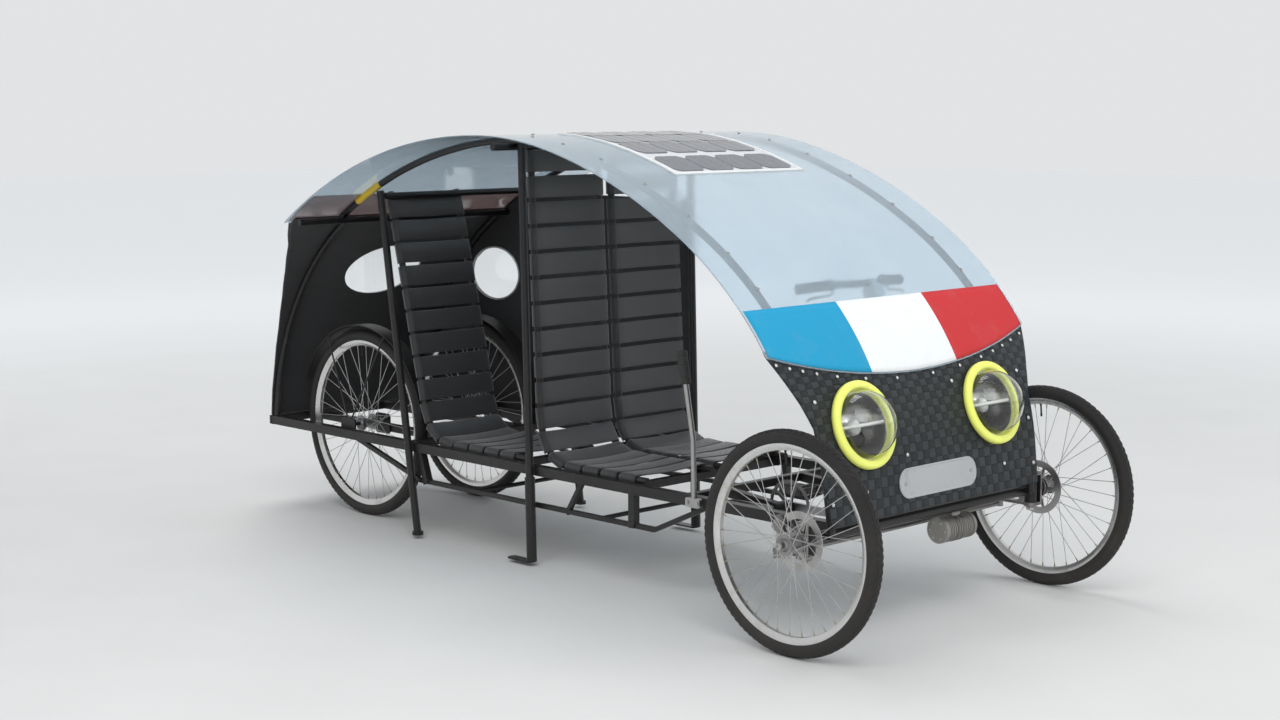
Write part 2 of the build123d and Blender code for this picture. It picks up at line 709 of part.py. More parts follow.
# Rear mudguards with a stay each
guard_r = rear_tyre_r + 16.0
guard_t = 2.5
guard_w = 58.0
stay_r = 3.0
with BuildPart() as guards:
    for side in (1, -1):
        with BuildSketch(side_plane(side * rear_wheel_y)):
            with Locations((fore(0.0), rear_tyre_r)):
                Circle(guard_r + guard_t)
                Circle(guard_r, mode=Mode.SUBTRACT)
            with BuildLine():
                Polyline((fore(0.0), rear_tyre_r), (fore(420.0), rear_tyre_r + 60.0), (fore(420.0), 800.0),
                         (fore(-420.0), 800.0), (fore(-420.0), rear_tyre_r + 160.0), (fore(0.0), rear_tyre_r))
            make_face(mode=Mode.INTERSECT)
        extrude(amount=guard_w / 2, both=True)
    for side in (1, -1):
        y = side * (rail_y - rail_w / 2 - weld_gap - mount_plate_t - stay_r - running_gap)
        for lean in (-32.0, 24.0):
            start = (fore(26.0 * sin(radians(lean))), y, rear_tyre_r + 26.0 * cos(radians(lean)))
            end_r = guard_r + guard_t / 2
            end = (fore(end_r * sin(radians(lean))), side * (rear_wheel_y + guard_w / 2 - 1.0),
                   rear_tyre_r + end_r * cos(radians(lean)))
            with BuildLine() as stay_line:
                Line(start, end)
            with BuildSketch(stay_line.line ^ 0):
                Circle(stay_r)
            sweep(path=stay_line.line)
save(guards.part, "rear_mudguards")

# Steering: a leaning head tube on its strut, the column inside it, a handlebar on top
column_y = 200.0
column_lean = 21.0
column_r = 12.7
head_r = 18.0
head_foot = Vector(fore(2075.0), column_y, 390.0)
column_dir = Vector(-sin(radians(column_lean)), 0, cos(radians(column_lean)))
head_length = 170.0
head_cross_x = fore(2175.0)
head_strut_half_t = 12.0
column_below = 14.0
collar_h = 10.0
clamp_w = 44.0
clamp_h = 34.0
column_length = 540.0
column_plane = Plane(origin=head_foot, x_dir=(0, 1, 0), z_dir=column_dir)
with BuildPart() as head:
    with BuildSketch(column_plane):
        Circle(head_r)
    extrude(amount=head_length)
    with BuildSketch(Plane.XZ.offset(-column_y)):
        with BuildLine():
            Polyline((head_foot.X - 4.0, 431.0), (head_cross_x - 10.0, rail_z), (head_cross_x + 12.0, rail_z),
                     (head_foot.X - 30.0, 496.0), (head_foot.X - 4.0, 431.0))
        make_face()
    extrude(amount=head_strut_half_t, both=True)
    with BuildSketch(Plane.XZ):
        with Locations((head_cross_x, rail_z)):
            RectangleRounded(cross_bar_w, cross_bar_w, bar_corner_r)
    extrude(amount=between_rails, both=True)
    with BuildSketch(column_plane):
        Circle(column_r + axle_clear)
    extrude(amount=head_length, mode=Mode.SUBTRACT)
save(head.part, "steering_head")
with BuildPart() as column:
    with BuildSketch(column_plane.offset(-column_below)):
        Circle(column_r)
    extrude(amount=column_length + column_below)
    with BuildSketch(column_plane.offset(-column_below)):
        Circle(head_r)
    extrude(amount=column_below - running_gap)
    with BuildSketch(column_plane.offset(head_length + running_gap)):
        Circle(head_r)
    extrude(amount=collar_h)
    with BuildSketch(column_plane.offset(column_length - clamp_h)):
        Rectangle(clamp_w, clamp_w)
    extrude(amount=clamp_h)
save(column.part, "steering_column")
bar_r = 11.0
bar_bend = 22.0
grip_r = 15.5
grip_length = 105.0
bar_plane = column_plane.offset(column_length + bar_r + running_gap)
bar_half = 235.0
bar_rise = (
    # sideways, back along the column plane, up
    (-bar_half, 80.0, 20.0),
    (-110.0, 50.0, 16.0),
    (-60.0, 0.0, 0.0),
    (60.0, 0.0, 0.0),
    (110.0, 50.0, 16.0),
    (bar_half, 80.0, 20.0),
)
bar_points = [bar_plane.from_local_coords(Vector(*spot)) for spot in bar_rise]
handlebar = tube([tuple(spot) for spot in bar_points], bar_r, bar_bend)
save(handlebar, "handlebar")
with BuildPart() as grips:
    for end, inward in ((0, 1), (-1, -2)):
        tip = bar_points[end]
        toward = (bar_points[inward] - tip).normalized()
        with BuildSketch(Plane(origin=tip, z_dir=toward)):
            Circle(grip_r)
            Circle(bar_r + axle_clear, mode=Mode.SUBTRACT)
        extrude(amount=grip_length)
save(grips.part, "handlebar_grips")

# Knuckles: a clevis round each kingpin housing, kingpin, stub axle and steering arm
arm_length = 110.0
lug_t = 9.0
lug_gap = 0.5
clevis_y = 24.0
plate_thick = 8.0
arm_z = rail_z - kingpin_housing_h / 2 - lug_gap - lug_t
disc_y = front_wheel_y - hub_half_w + disc_t / 2 + 1.0
caliper_in = kingpin_y + clevis_y
caliper_out = disc_y + 9.0
caliper_place = (-66.0, 38.0)
caliper_size = (34.0, 44.0)
caliper_corner_r = 6.0
ear_place = (-36.0, 22.0)
ear_size = (96.0, 30.0)
ear_turn = -30.0
arm_w = 24.0
pin_r = 5.0
pin_past_lug = 6.0
axle_past_hub = 8.0
stub_length = front_wheel_y + hub_half_w + axle_past_hub - kingpin_y - clevis_y - plate_thick / 2
for side, name in ((1, "knuckle_left"), (-1, "knuckle_right")):
    with BuildPart() as knuckle:
        low_z = arm_z
        high_z = rail_z + kingpin_housing_h / 2 + lug_gap
        for lug_z in (low_z, high_z):
            with BuildSketch(Plane.XY.offset(lug_z)):
                with Locations((front_axle_x, side * kingpin_y)):
                    Circle(kingpin_housing_r)
                with Locations((front_axle_x, side * (kingpin_y + clevis_y / 2 + plate_thick / 2))):
                    Rectangle(2 * kingpin_housing_r, clevis_y + plate_thick)
            extrude(amount=lug_t)
        with BuildSketch(Plane.XY.offset(low_z)):
            with Locations((front_axle_x, side * (kingpin_y + clevis_y + plate_thick / 2))):
                Rectangle(2 * kingpin_housing_r, plate_thick)
        extrude(amount=high_z + lug_t - low_z)
        with BuildSketch(Plane.XY.offset(low_z - pin_past_lug)):
            with Locations((front_axle_x, side * kingpin_y)):
                Circle(kingpin_r)
        extrude(amount=high_z + lug_t - low_z + 2 * pin_past_lug)
        with BuildSketch(side_plane(side * (kingpin_y + clevis_y + plate_thick / 2))):
            with Locations((front_axle_x, front_tyre_r)):
                Circle(axle_r)
        extrude(amount=-side * stub_length)
        with BuildSketch(Plane.XY.offset(low_z)):
            with Locations((front_axle_x - arm_length / 2, side * kingpin_y)):
                SlotCenterToCenter(arm_length, arm_w)
        extrude(amount=lug_t)
        caliper_ear = side_plane(side * (kingpin_y + clevis_y + plate_thick / 2))
        with BuildSketch(caliper_ear):
            with Locations((front_axle_x + ear_place[0], front_tyre_r + ear_place[1])):
                SlotOverall(*ear_size, rotation=ear_turn)
        extrude(amount=plate_thick / 2, both=True)
        with BuildSketch(side_plane(side * (caliper_in + caliper_out) / 2)):
            with Locations((front_axle_x + caliper_place[0], front_tyre_r + caliper_place[1])):
                RectangleRounded(*caliper_size, caliper_corner_r, rotation=ear_turn)
        extrude(amount=(caliper_out - caliper_in) / 2, both=True)
        with BuildSketch(side_plane(side * disc_y)):
            with Locations((front_axle_x, front_tyre_r)):
                Circle(disc_r + 2.0)
        extrude(amount=disc_t / 2 + 1.5, both=True, mode=Mode.SUBTRACT)
        with BuildSketch(side_plane(side * disc_y)):
            with Locations((front_axle_x, front_tyre_r)):
                Circle(axle_r)
        extrude(amount=disc_t / 2 + 3.0, both=True)
        with BuildSketch(Plane.XY.offset(low_z)):
            with Locations((front_axle_x - arm_length, side * kingpin_y)):
                Circle(pin_r + axle_clear)
        extrude(amount=lug_t, mode=Mode.SUBTRACT)
    save(knuckle.part, name)

# Tie rod under the rails, pinned to both arms
rod_r = 7.0
rod_z = arm_z - 10.0
rod_end_r = 11.0
rod_end_half_h = 8.0
pin_past_arm = 5.0
with BuildPart() as tie_rod:
    with BuildSketch(Plane.XZ):
        with Locations((front_axle_x - arm_length, rod_z)):
            Circle(rod_r)
    extrude(amount=kingpin_y, both=True)
    for side in (1, -1):
        with BuildSketch(Plane.XY.offset(rod_z - rod_end_half_h)):
            with Locations((front_axle_x - arm_length, side * kingpin_y)):
                Circle(rod_end_r)
        extrude(amount=arm_z - lug_gap - rod_z + rod_end_half_h)
        with BuildSketch(Plane.XY.offset(rod_z)):
            with Locations((front_axle_x - arm_length, side * kingpin_y)):
                Circle(pin_r)
        extrude(amount=arm_z + lug_t + pin_past_arm - rod_z)
save(tie_rod.part, "tie_rod")


def tyre_ring(outer_r):
    """Tyre on its rim seat, axle along Y, centred on the origin."""
    half = tyre_w / 2
    bead_half = rim_w / 2 - rim_wall - bead_gap
    seat_r = outer_r - tyre_depth + bead_gap
    section = (
        # sideways, radius
        (-bead_half, seat_r),
        (-half, outer_r - 21.0),
        (-0.55 * half, outer_r),
    )
    with BuildPart() as tyre:
        with BuildSketch(Plane.YZ):
            with BuildLine():
                Polyline(*section, *[(-y, r) for y, r in reversed(section)], section[0])
            make_face()
        revolve(axis=Axis.Y)
    return tyre.part


def spoked_wheel(outer_r):
    """Rim, crossed spokes and hub as one, axle along Y, centred on the origin."""
    rim_r = outer_r - tyre_depth
    rim_section = (
        # sideways, radius
        (-rim_w / 2, rim_r + rim_lip),
        (-rim_w / 2, rim_r - 4.0),
        (-rim_w / 4, rim_r - rim_depth),
        (rim_w / 4, rim_r - rim_depth),
        (rim_w / 2, rim_r - 4.0),
        (rim_w / 2, rim_r + rim_lip),
        (rim_w / 2 - rim_edge, rim_r + rim_lip),
        (rim_w / 2 - rim_wall, rim_r),
        (-rim_w / 2 + rim_wall, rim_r),
        (-rim_w / 2 + rim_edge, rim_r + rim_lip),
        (-rim_w / 2, rim_r + rim_lip),
    )
    with BuildPart() as wheel:
        with BuildSketch(Plane.YZ):
            with BuildLine():
                Polyline(*rim_section)
            make_face()
        revolve(axis=Axis.Y)
        with BuildSketch(Plane.XZ):
            Circle(hub_barrel_r)
        extrude(amount=hub_half_w, both=True)
        for flange_y in (-hub_flange_y, hub_flange_y):
            with BuildSketch(side_plane(flange_y)):
                Circle(hub_flange_r)
            extrude(amount=hub_flange_t / 2, both=True)
        for number in range(spoke_count):
            rim_turn = radians(360.0 / spoke_count * number)
            lean = radians(64.0 if number % 4 < 2 else -64.0)
            flange = hub_flange_y if number % 2 else -hub_flange_y
            near_r, far_r = hub_flange_r - 4.0, rim_r - rim_depth + 3.0
            start = Vector(near_r * cos(rim_turn + lean), flange, near_r * sin(rim_turn + lean))
            end = Vector(far_r * cos(rim_turn), 0, far_r * sin(rim_turn))
            with BuildSketch(Plane(origin=start, z_dir=end - start)):
                RegularPolygon(spoke_r, 4)
            extrude(amount=(end - start).length)
        with BuildSketch(Plane.XZ):
            Circle(axle_r + axle_clear)
        extrude(amount=hub_half_w + 1.0, both=True, mode=Mode.SUBTRACT)
    return wheel.part


wheels = (
    # name, tyre radius, axle place, distance left of the middle
    ("front_left", front_tyre_r, front_axle_x, front_wheel_y),
    ("front_right", front_tyre_r, front_axle_x, -front_wheel_y),
    ("rear_left", rear_tyre_r, fore(0.0), rear_wheel_y),
    ("rear_right", rear_tyre_r, fore(0.0), -rear_wheel_y),
)
tyre_of = {outer_r: tyre_ring(outer_r) for outer_r in (front_tyre_r, rear_tyre_r)}
wheel_of = {outer_r: spoked_wheel(outer_r) for outer_r in (front_tyre_r, rear_tyre_r)}
for name, outer_r, x, y in wheels:
    place = Location((x, y, outer_r))
    save(tyre_of[outer_r].moved(place), f"tyre_{name}")
    save(wheel_of[outer_r].moved(place), f"wheel_{name}")

# Brake discs on the inner ends of the front hubs
disc_rim_w = 20.0
disc_core_r = hub_barrel_r + 9.0
disc_arm_size = (44.0, 9.0)
disc_arm_r = hub_barrel_r + 25.0
for side, name in ((1, "brake_disc_left"), (-1, "brake_disc_right")):
    with BuildPart() as disc:
        with BuildSketch(side_plane(side * disc_y)):
            with Locations((front_axle_x, front_tyre_r)):
                Circle(disc_r)
                Circle(disc_r - disc_rim_w, mode=Mode.SUBTRACT)
                Circle(disc_core_r)
                with PolarLocations(disc_arm_r, 5):
                    Rectangle(*disc_arm_size)
                Circle(hub_barrel_r + 0.1, mode=Mode.SUBTRACT)
        extrude(amount=disc_t / 2, both=True)
    save(disc.part, name)

# Cranksets: bottom bracket shells on the frame, and a crank with ring and pedals for each front seat
crank_x = fore(1860.0)
crank_z = 280.0
crank_length = 150.0
crank_y = 170.0
shell_r = 20.0
shell_half = 34.0
ring_r = 78.0
ring_rim_w = 14.0
spindle_r = 8.0
crank_w = 24.0
crank_half_t = 6.0
crank_out = shell_half + 8.0
boom_w = 26.0
pedal_size = (86.0, 24.0)
pedal_corner_r = 8.0
pedal_half_w = 40.0
pedal_out = shell_half + 60.0
boom_cross_x = fore(1640.0)
with BuildPart() as shells:
    for side in (1, -1):
        with BuildSketch(side_plane(side * crank_y)):
            with Locations((crank_x, crank_z)):
                Circle(shell_r)
        extrude(amount=shell_half, both=True)
    with BuildSketch(Plane.XZ):
        with Locations((boom_cross_x, rail_z)):
            RectangleRounded(cross_bar_w, cross_bar_w, bar_corner_r)
    extrude(amount=between_rails, both=True)
    for side in (1, -1):
        with BuildSketch(side_plane(side * crank_y)):
            with BuildLine():
                Line((boom_cross_x, rail_z), (crank_x, crank_z))
            trace(line_width=boom_w)
        extrude(amount=boom_w / 2, both=True)
    for side in (1, -1):
        with BuildSketch(side_plane(side * crank_y)):
            with Locations((crank_x, crank_z)):
                Circle(spindle_r + axle_clear)
        extrude(amount=shell_half, both=True, mode=Mode.SUBTRACT)
save(shells.part, "bottom_brackets")
for side, name in ((1, "left"), (-1, "right")):
    with BuildPart() as crankset:
        with BuildSketch(side_plane(side * crank_y)):
            with Locations((crank_x, crank_z)):
                Circle(spindle_r)
        extrude(amount=crank_out + crank_half_t, both=True)
        for way in (1, -1):
            with BuildSketch(side_plane(side * crank_y + way * crank_out)):
                with Locations((crank_x + way * crank_length / 2, crank_z)):
                    SlotCenterToCenter(crank_length, crank_w)
            extrude(amount=crank_half_t, both=True)
        ring_y = side * crank_y - side * (shell_half + 4.0)
        with BuildSketch(side_plane(ring_y)):
            with Locations((crank_x, crank_z)):
                Circle(ring_r)
                Circle(ring_r - ring_rim_w, mode=Mode.SUBTRACT)
                with PolarLocations(ring_r / 2 - 4.0, 5):
                    Rectangle(ring_r - 12.0, 10.0)
                Circle(spindle_r, mode=Mode.SUBTRACT)
        extrude(amount=1.0, both=True)
        for way in (1, -1):
            with BuildSketch(side_plane(side * crank_y + way * pedal_out)):
                with Locations((crank_x + way * crank_length, crank_z)):
                    RectangleRounded(*pedal_size, pedal_corner_r)
            extrude(amount=pedal_half_w, both=True)
            with BuildSketch(side_plane(side * crank_y + way * (shell_half + 17.0))):
                with Locations((crank_x + way * crank_length, crank_z)):
                    Circle(6.0)
            extrude(amount=3.0, both=True)
    save(crankset.part, f"crankset_{name}")

# Motor under the front beam
motor_r = 38.0
motor_y = 60.0
motor_length = 140.0
motor_x = front_axle_x - 8.0
saddle_size = (26.0, 20.0, 40.0)
with BuildPart() as motor:
    with BuildSketch(Plane.XZ.offset(-motor_y)):
        with Locations((motor_x, rail_z - beam_r - motor_r - 8.0)):
            Circle(motor_r)
    extrude(amount=-motor_length)
    with BuildSketch(Plane.XZ.offset(-motor_y - (motor_length - saddle_size[2]) / 2)):
        with Locations((motor_x, rail_z - beam_r - saddle_size[1] / 2)):
            Rectangle(saddle_size[0], saddle_size[1] - 2 * running_gap)
    extrude(amount=-saddle_size[2])
save(motor.part, "motor")

# Side lever on the right rail, with its grip
lever_x = fore(1700.0)
lever_r = 8.0
lever_top = (lever_x - 34.0, 640.0)
lever_y = -(rail_y + rail_w / 2 + weld_gap + lever_r)
lever_foot_size = (56.0, 28.0)
lever_grip_r = 14.0
lever_grip_length = 90.0
with BuildPart() as lever:
    with BuildSketch(side_plane(lever_y)):
        with Locations((lever_x, rail_z)):
            RectangleRounded(*lever_foot_size, lever_r)
    extrude(amount=lever_r, both=True)
    add(tube([(lever_x, rail_z), (lever_x - 4.0, 480.0), lever_top], lever_r, 60.0, lever_y))
    with BuildSketch(Plane(origin=(lever_top[0], lever_y, lever_top[1]), z_dir=(-30.0, 0, 160.0))):
        Circle(lever_grip_r)
    extrude(amount=lever_grip_length)
save(lever.part, "side_lever")
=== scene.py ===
from math import cos, pi, radians, sin, tan, tau

import bmesh
import bpy
from mathutils import Matrix, Vector


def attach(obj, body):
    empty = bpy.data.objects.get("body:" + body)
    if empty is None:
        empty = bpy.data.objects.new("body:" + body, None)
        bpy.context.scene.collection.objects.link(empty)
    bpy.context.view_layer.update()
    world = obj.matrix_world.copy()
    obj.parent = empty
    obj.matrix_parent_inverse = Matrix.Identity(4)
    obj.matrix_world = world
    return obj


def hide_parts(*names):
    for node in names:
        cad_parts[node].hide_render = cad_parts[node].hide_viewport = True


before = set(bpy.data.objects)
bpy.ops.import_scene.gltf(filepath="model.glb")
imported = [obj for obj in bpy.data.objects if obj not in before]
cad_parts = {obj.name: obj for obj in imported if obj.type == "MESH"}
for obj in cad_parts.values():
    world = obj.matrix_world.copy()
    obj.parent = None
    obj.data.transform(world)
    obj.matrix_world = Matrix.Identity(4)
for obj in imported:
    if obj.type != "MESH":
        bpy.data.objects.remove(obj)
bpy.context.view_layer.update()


# Camera: held at chest height off the vehicle's right front corner, looking back over its nose.
# The viewpoint sets the perspective, and a longer lens fills the frame with the vehicle.
def stood(name, data):
    """An object for its data, put into the scene."""
    made = bpy.data.objects.new(name, data)
    bpy.context.scene.collection.objects.link(made)
    return made


def aimed(made, spot, target):
    """Puts a camera or a lamp on its spot and turns it to its target."""
    made.location = spot
    made.rotation_euler = (Vector(target) - Vector(spot)).to_track_quat("-Z", "Y").to_euler()


viewpoint = (4.586, -4.458, 1.44)
aim_at = (0.03, 0.02, 0.62)
camera = stood("camera", bpy.data.cameras.new("camera"))
aimed(camera, viewpoint, aim_at)
camera.data.lens = 57.0
bpy.context.scene.camera = camera
bpy.context.scene.view_settings.view_transform = "Standard"


# Studio: a pale floor that keeps the shadow, a pale room seen by the eye and by every reflection,
# and three large soft lamps that light the vehicle at a plain level.
def node(where, kind, inputs=(), **settings):
    """A node in the tree of a socket or node, with its settings, its values and the sockets that feed it."""
    tree = where.id_data
    made = tree.nodes.new(kind)
    for key, value in settings.items():
        setattr(made, key, value)
    for key, value in dict(inputs).items():
        if isinstance(value, bpy.types.NodeSocket):
            tree.links.new(value, made.inputs[key])
        else:
            made.inputs[key].default_value = value
    return made


def calc(how, *terms):
    """Result of a sum on one to three terms."""
    socket = next(term for term in terms if isinstance(term, bpy.types.NodeSocket))
    return node(socket, "ShaderNodeMath", dict(enumerate(terms)), operation=how).outputs[0]


def ranged(value, start=0.0, end=1.0, low=0.0, high=1.0, **settings):
    """A value mapped from start and end onto low and high."""
    spans = {"Value": value, "From Min": start, "From Max": end, "To Min": low, "To Max": high}
    return node(value, "ShaderNodeMapRange", spans, **settings).outputs[0]


def noise(place, scale, detail, rough=0.5, **others):
    """Soft noise round a place."""
    values = {"Vector": place, "Scale": scale, "Detail": detail, "Roughness": rough, **others}
    return node(place, "ShaderNodeTexNoise", values).outputs["Fac"]


def mixed(share, a, b, kind="RGBA"):
    """Two colours or numbers mixed by a share; a plain colour is given as three numbers."""
    a, b = ((*part, 1) if isinstance(part, tuple) else part for part in (a, b))
    return node(share, "ShaderNodeMix", {"Factor": share, "A": a, "B": b}, data_type=kind).outputs["Result"]


def upright(place, axis="Z"):
    """One coordinate of a place."""
    return node(place, "ShaderNodeSeparateXYZ", {0: place}).outputs[axis]


def feed(end, **sockets):
    """Links sockets to the inputs of an end node by name."""
    for label, socket in sockets.items():
        end.id_data.links.new(socket, end.inputs[label.replace("_", " ")])


def principled(name, **values):
    """A new material with one Principled shader, with plain values given by name."""
    made = bpy.data.materials.new(name)
    made.use_nodes = True
    shader = made.node_tree.nodes["Principled BSDF"]
    for key, value in values.items():
        shader.inputs[key.replace("_", " ")].default_value = value
    return made, shader


def textured(name, **values):
    """A principled material, its shader and its object coordinates."""
    made, shader = principled(name, **values)
    return made, shader, node(shader, "ShaderNodeTexCoord").outputs["Object"]


def pointed(name, points, edges=(), faces=()):
    """A mesh from its points, edges and faces."""
    made = bpy.data.meshes.new(name)
    made.from_pydata(points, edges, faces)
    return made


floor_half = 30.0
floor_corners = [(x * floor_half, y * floor_half, 0) for x, y in ((-1, -1), (1, -1), (1, 1), (-1, 1))]
floor = stood("floor", pointed("floor", floor_corners, (), [(0, 1, 2, 3)]))
floor_paint, shader, place = textured("pale_floor", Roughness=0.7, Emission_Strength=1.0)
room_pale = (0.80, 0.81, 0.82)
from_middle = node(place, "ShaderNodeVectorMath", {0: place}, operation="LENGTH").outputs["Value"]
far = ranged(from_middle, 2.2, 9.0, 0.0, 0.52, interpolation_type="SMOOTHSTEP")
glow = node(far, "ShaderNodeVectorMath", {0: room_pale, "Scale": far}, operation="SCALE").outputs[0]
tone = mixed(noise(place, 2.2, 6.0), (0.66, 0.65, 0.63), (0.72, 0.71, 0.69))
feed(shader, Base_Color=tone, Emission_Color=glow)
floor.data.materials.append(floor_paint)

world = bpy.data.worlds.new("room")
bpy.context.scene.world = world
world.use_nodes = True
tree = world.node_tree
tree.nodes.clear()
path = node(tree, "ShaderNodeLightPath").outputs
seen = calc("MAXIMUM", path["Is Camera Ray"], path["Is Transmission Ray"])
mirrored = calc("MAXIMUM", seen, path["Is Glossy Ray"])
rise = upright(node(tree, "ShaderNodeTexCoord").outputs["Generated"])
sky = mixed(rise, (0.62, 0.66, 0.70), (0.74, 0.82, 0.92))
light_level = node(tree, "ShaderNodeBackground", {"Color": sky, "Strength": 0.55})
pale = node(tree, "ShaderNodeBackground", {"Color": (*room_pale, 1), "Strength": 0.95})
both = node(tree, "ShaderNodeMixShader", {0: mirrored, 1: light_level.outputs[0], 2: pale.outputs[0]})
node(tree, "ShaderNodeOutputWorld", {"Surface": both.outputs[0]})

soft_lamps = (
    # name, place, side in metres, watts
    ("key", (3.9, -4.6, 5.0), 5.5, 330.0),
    ("fill", (4.4, 4.0, 3.4), 5.0, 130.0),
    ("back", (-2.8, 0.6, 6.2), 3.6, 190.0),
)
for name, spot, side, watts in soft_lamps:
    lamp = stood(name, bpy.data.lights.new(name, "AREA"))
    lamp.data.size, lamp.data.energy = side, watts
    lamp.visible_glossy = False
    aimed(lamp, spot, (0, 0, 0.5))


# Chassis: square and round steel tube, welded, then sprayed satin black in one piece.
# The paint has an orange-peel grain, thin scuffs, and road dust that thickens towards the ground.
def shader_group(name, inputs, outputs):
    """A shader group; returns its tree, the named sockets that it is given, and its end node."""
    group = bpy.data.node_groups.new(name, "ShaderNodeTree")
    for label, value in inputs.items():
        kind = "NodeSocketColor" if isinstance(value, tuple) else "NodeSocketFloat"
        group.interface.new_socket(label, in_out="INPUT", socket_type=kind).default_value = value
    for label, kind in outputs.items():
        group.interface.new_socket(label, in_out="OUTPUT", socket_type="NodeSocket" + kind)
    return group, group.nodes.new("NodeGroupInput").outputs, group.nodes.new("NodeGroupOutput")


def bumped(height, distance, strength, **others):
    """A normal bumped by a height."""
    values = {"Height": height, "Distance": distance, "Strength": strength, **others}
    return node(height, "ShaderNodeBump", values).outputs[0]


weather, given, put = shader_group(
    "weather",
    {"Color": (0.02, 0.02, 0.02, 1), "Worn Color": (0.2, 0.19, 0.18, 1), "Roughness": 0.4, "Worn Roughness": 0.7,
     "Scuff Scale": 40.0, "Scuffs": 0.3, "Grain Scale": 700.0, "Dust": 0.3},
    {"Color": "Color", "Roughness": "Float", "Height": "Float"})
road_dust = (0.23, 0.20, 0.165)
place = node(weather, "ShaderNodeTexCoord").outputs["Object"]
patches = noise(place, 5.0, 5.0, 0.65)
fine = noise(place, given["Scuff Scale"], 8.0, 0.75)
scuff_band = ranged(calc("MULTIPLY", patches, fine), 0.27, 0.42)
scuff = calc("MULTIPLY", scuff_band, given["Scuffs"])
near_ground = ranged(upright(place), 1.1, 0.05)
dust = calc("MULTIPLY", calc("MULTIPLY", near_ground, patches), given["Dust"])
worn = mixed(scuff, given["Color"], given["Worn Color"])
rough = mixed(scuff, given["Roughness"], given["Worn Roughness"], "FLOAT")
grain = noise(place, given["Grain Scale"], 2.0)
feed(put, Color=mixed(dust, worn, road_dust), Roughness=mixed(dust, rough, 0.85, "FLOAT"),
     Height=calc("SUBTRACT", grain, scuff))


def weathered(name, colour, worn_colour, rough, worn_rough, scuff_scale=40.0, scuffs=0.3, grain_scale=700.0,
              dust=0.3, grain_depth=0.0001, **values):
    """A material on the weather group; further values go to its shader."""
    made, shader = principled(name, **values)
    wear = node(shader, "ShaderNodeGroup", node_tree=weather)
    for label, value in (("Color", (*colour, 1)), ("Worn Color", (*worn_colour, 1)), ("Roughness", rough),
                         ("Worn Roughness", worn_rough), ("Scuff Scale", scuff_scale), ("Scuffs", scuffs),
                         ("Grain Scale", grain_scale), ("Dust", dust)):
        wear.inputs[label].default_value = value
    feed(shader, Base_Color=wear.outputs["Color"], Roughness=wear.outputs["Roughness"],
         Normal=bumped(wear.outputs["Height"], grain_depth, 0.6))
    return made


def clad(material, *names):
    """Gives CAD nodes their finish."""
    for name in names:
        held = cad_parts[name]
        if not held.material_slots:
            held.data.materials.append(material)
        for slot in held.material_slots:
            slot.material = material


satin_black = weathered("satin_black_paint", (0.006, 0.006, 0.007), (0.055, 0.052, 0.05), 0.34, 0.6, scuffs=0.25,
                        dust=0.10, Specular_IOR_Level=0.4)
clad(satin_black, "side_truss_left", "side_truss_right", "cross_members", "rear_axle_mounts", "front_beam",
     "uprights", "roof_ribs", "roof_cross_tubes", "end_posts", "steering_head", "bottom_brackets")


# Fixings: plated screws, nuts and snap heads, each set on its face where two pieces meet.
# One tree plants a small shape on every given point, turned to the face that it sits on.
def mesh_object(name, mesh, material=None, body=None, smooth=True, sharp=None):
    """An object for a finished mesh, at the origin, riding on its body; edges over sharp degrees stay sharp."""
    made = stood(name, mesh)
    if material:
        mesh.materials.clear()
        mesh.materials.append(material)
    if smooth:
        mesh.shade_smooth()
    if sharp:
        mesh.set_sharp_from_angle(angle=radians(sharp))
    if body:
        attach(made, body)
    return made


def taken(shape, name):
    """The plain mesh of a shape that was being built."""
    made = bpy.data.meshes.new(name)
    shape.to_mesh(made)
    shape.free()
    return made


def turned(profile, steps, name="turned", closed=True, seat=None):
    """Mesh of a profile of (along, radius) pairs turned round the Z axis, normals outwards, then set in its seat."""
    shape = bmesh.new()
    rings = [[shape.verts.new((r * cos(tau * k / steps), r * sin(tau * k / steps), z)) for k in range(steps)]
             for z, r in profile]
    for a, b in zip(rings, rings[1:] + ([rings[0]] if closed else [])):
        for k in range(steps):
            shape.faces.new((a[k], a[(k + 1) % steps], b[(k + 1) % steps], b[k]))
    bmesh.ops.remove_doubles(shape, verts=shape.verts, dist=1e-6)
    bmesh.ops.dissolve_degenerate(shape, edges=shape.edges, dist=1e-6)
    bmesh.ops.recalc_face_normals(shape, faces=shape.faces)
    made = taken(shape, name)
    if seat:
        made.transform(seat)
    return made


def geometry_tree(name, **inputs):
    """A geometry tree with one geometry output; returns it, the sockets that it is given, and its end node."""
    tree = bpy.data.node_groups.new(name, "GeometryNodeTree")
    for label, kind in {"Geometry": "Geometry", **inputs}.items():
        tree.interface.new_socket(label, in_out="INPUT", socket_type="NodeSocket" + kind)
    tree.interface.new_socket("Geometry", in_out="OUTPUT", socket_type="NodeSocketGeometry")
    return tree, tree.nodes.new("NodeGroupInput").outputs, tree.nodes.new("NodeGroupOutput")


def finished(tree, given, put, shapes):
    """Ends a geometry tree: the shapes are made real and take the finish that it is given."""
    real = node(tree, "GeometryNodeRealizeInstances", {0: shapes})
    coloured = node(tree, "GeometryNodeSetMaterial", {"Geometry": real.outputs[0], "Material": given["Finish"]})
    tree.links.new(coloured.outputs[0], put.inputs[0])


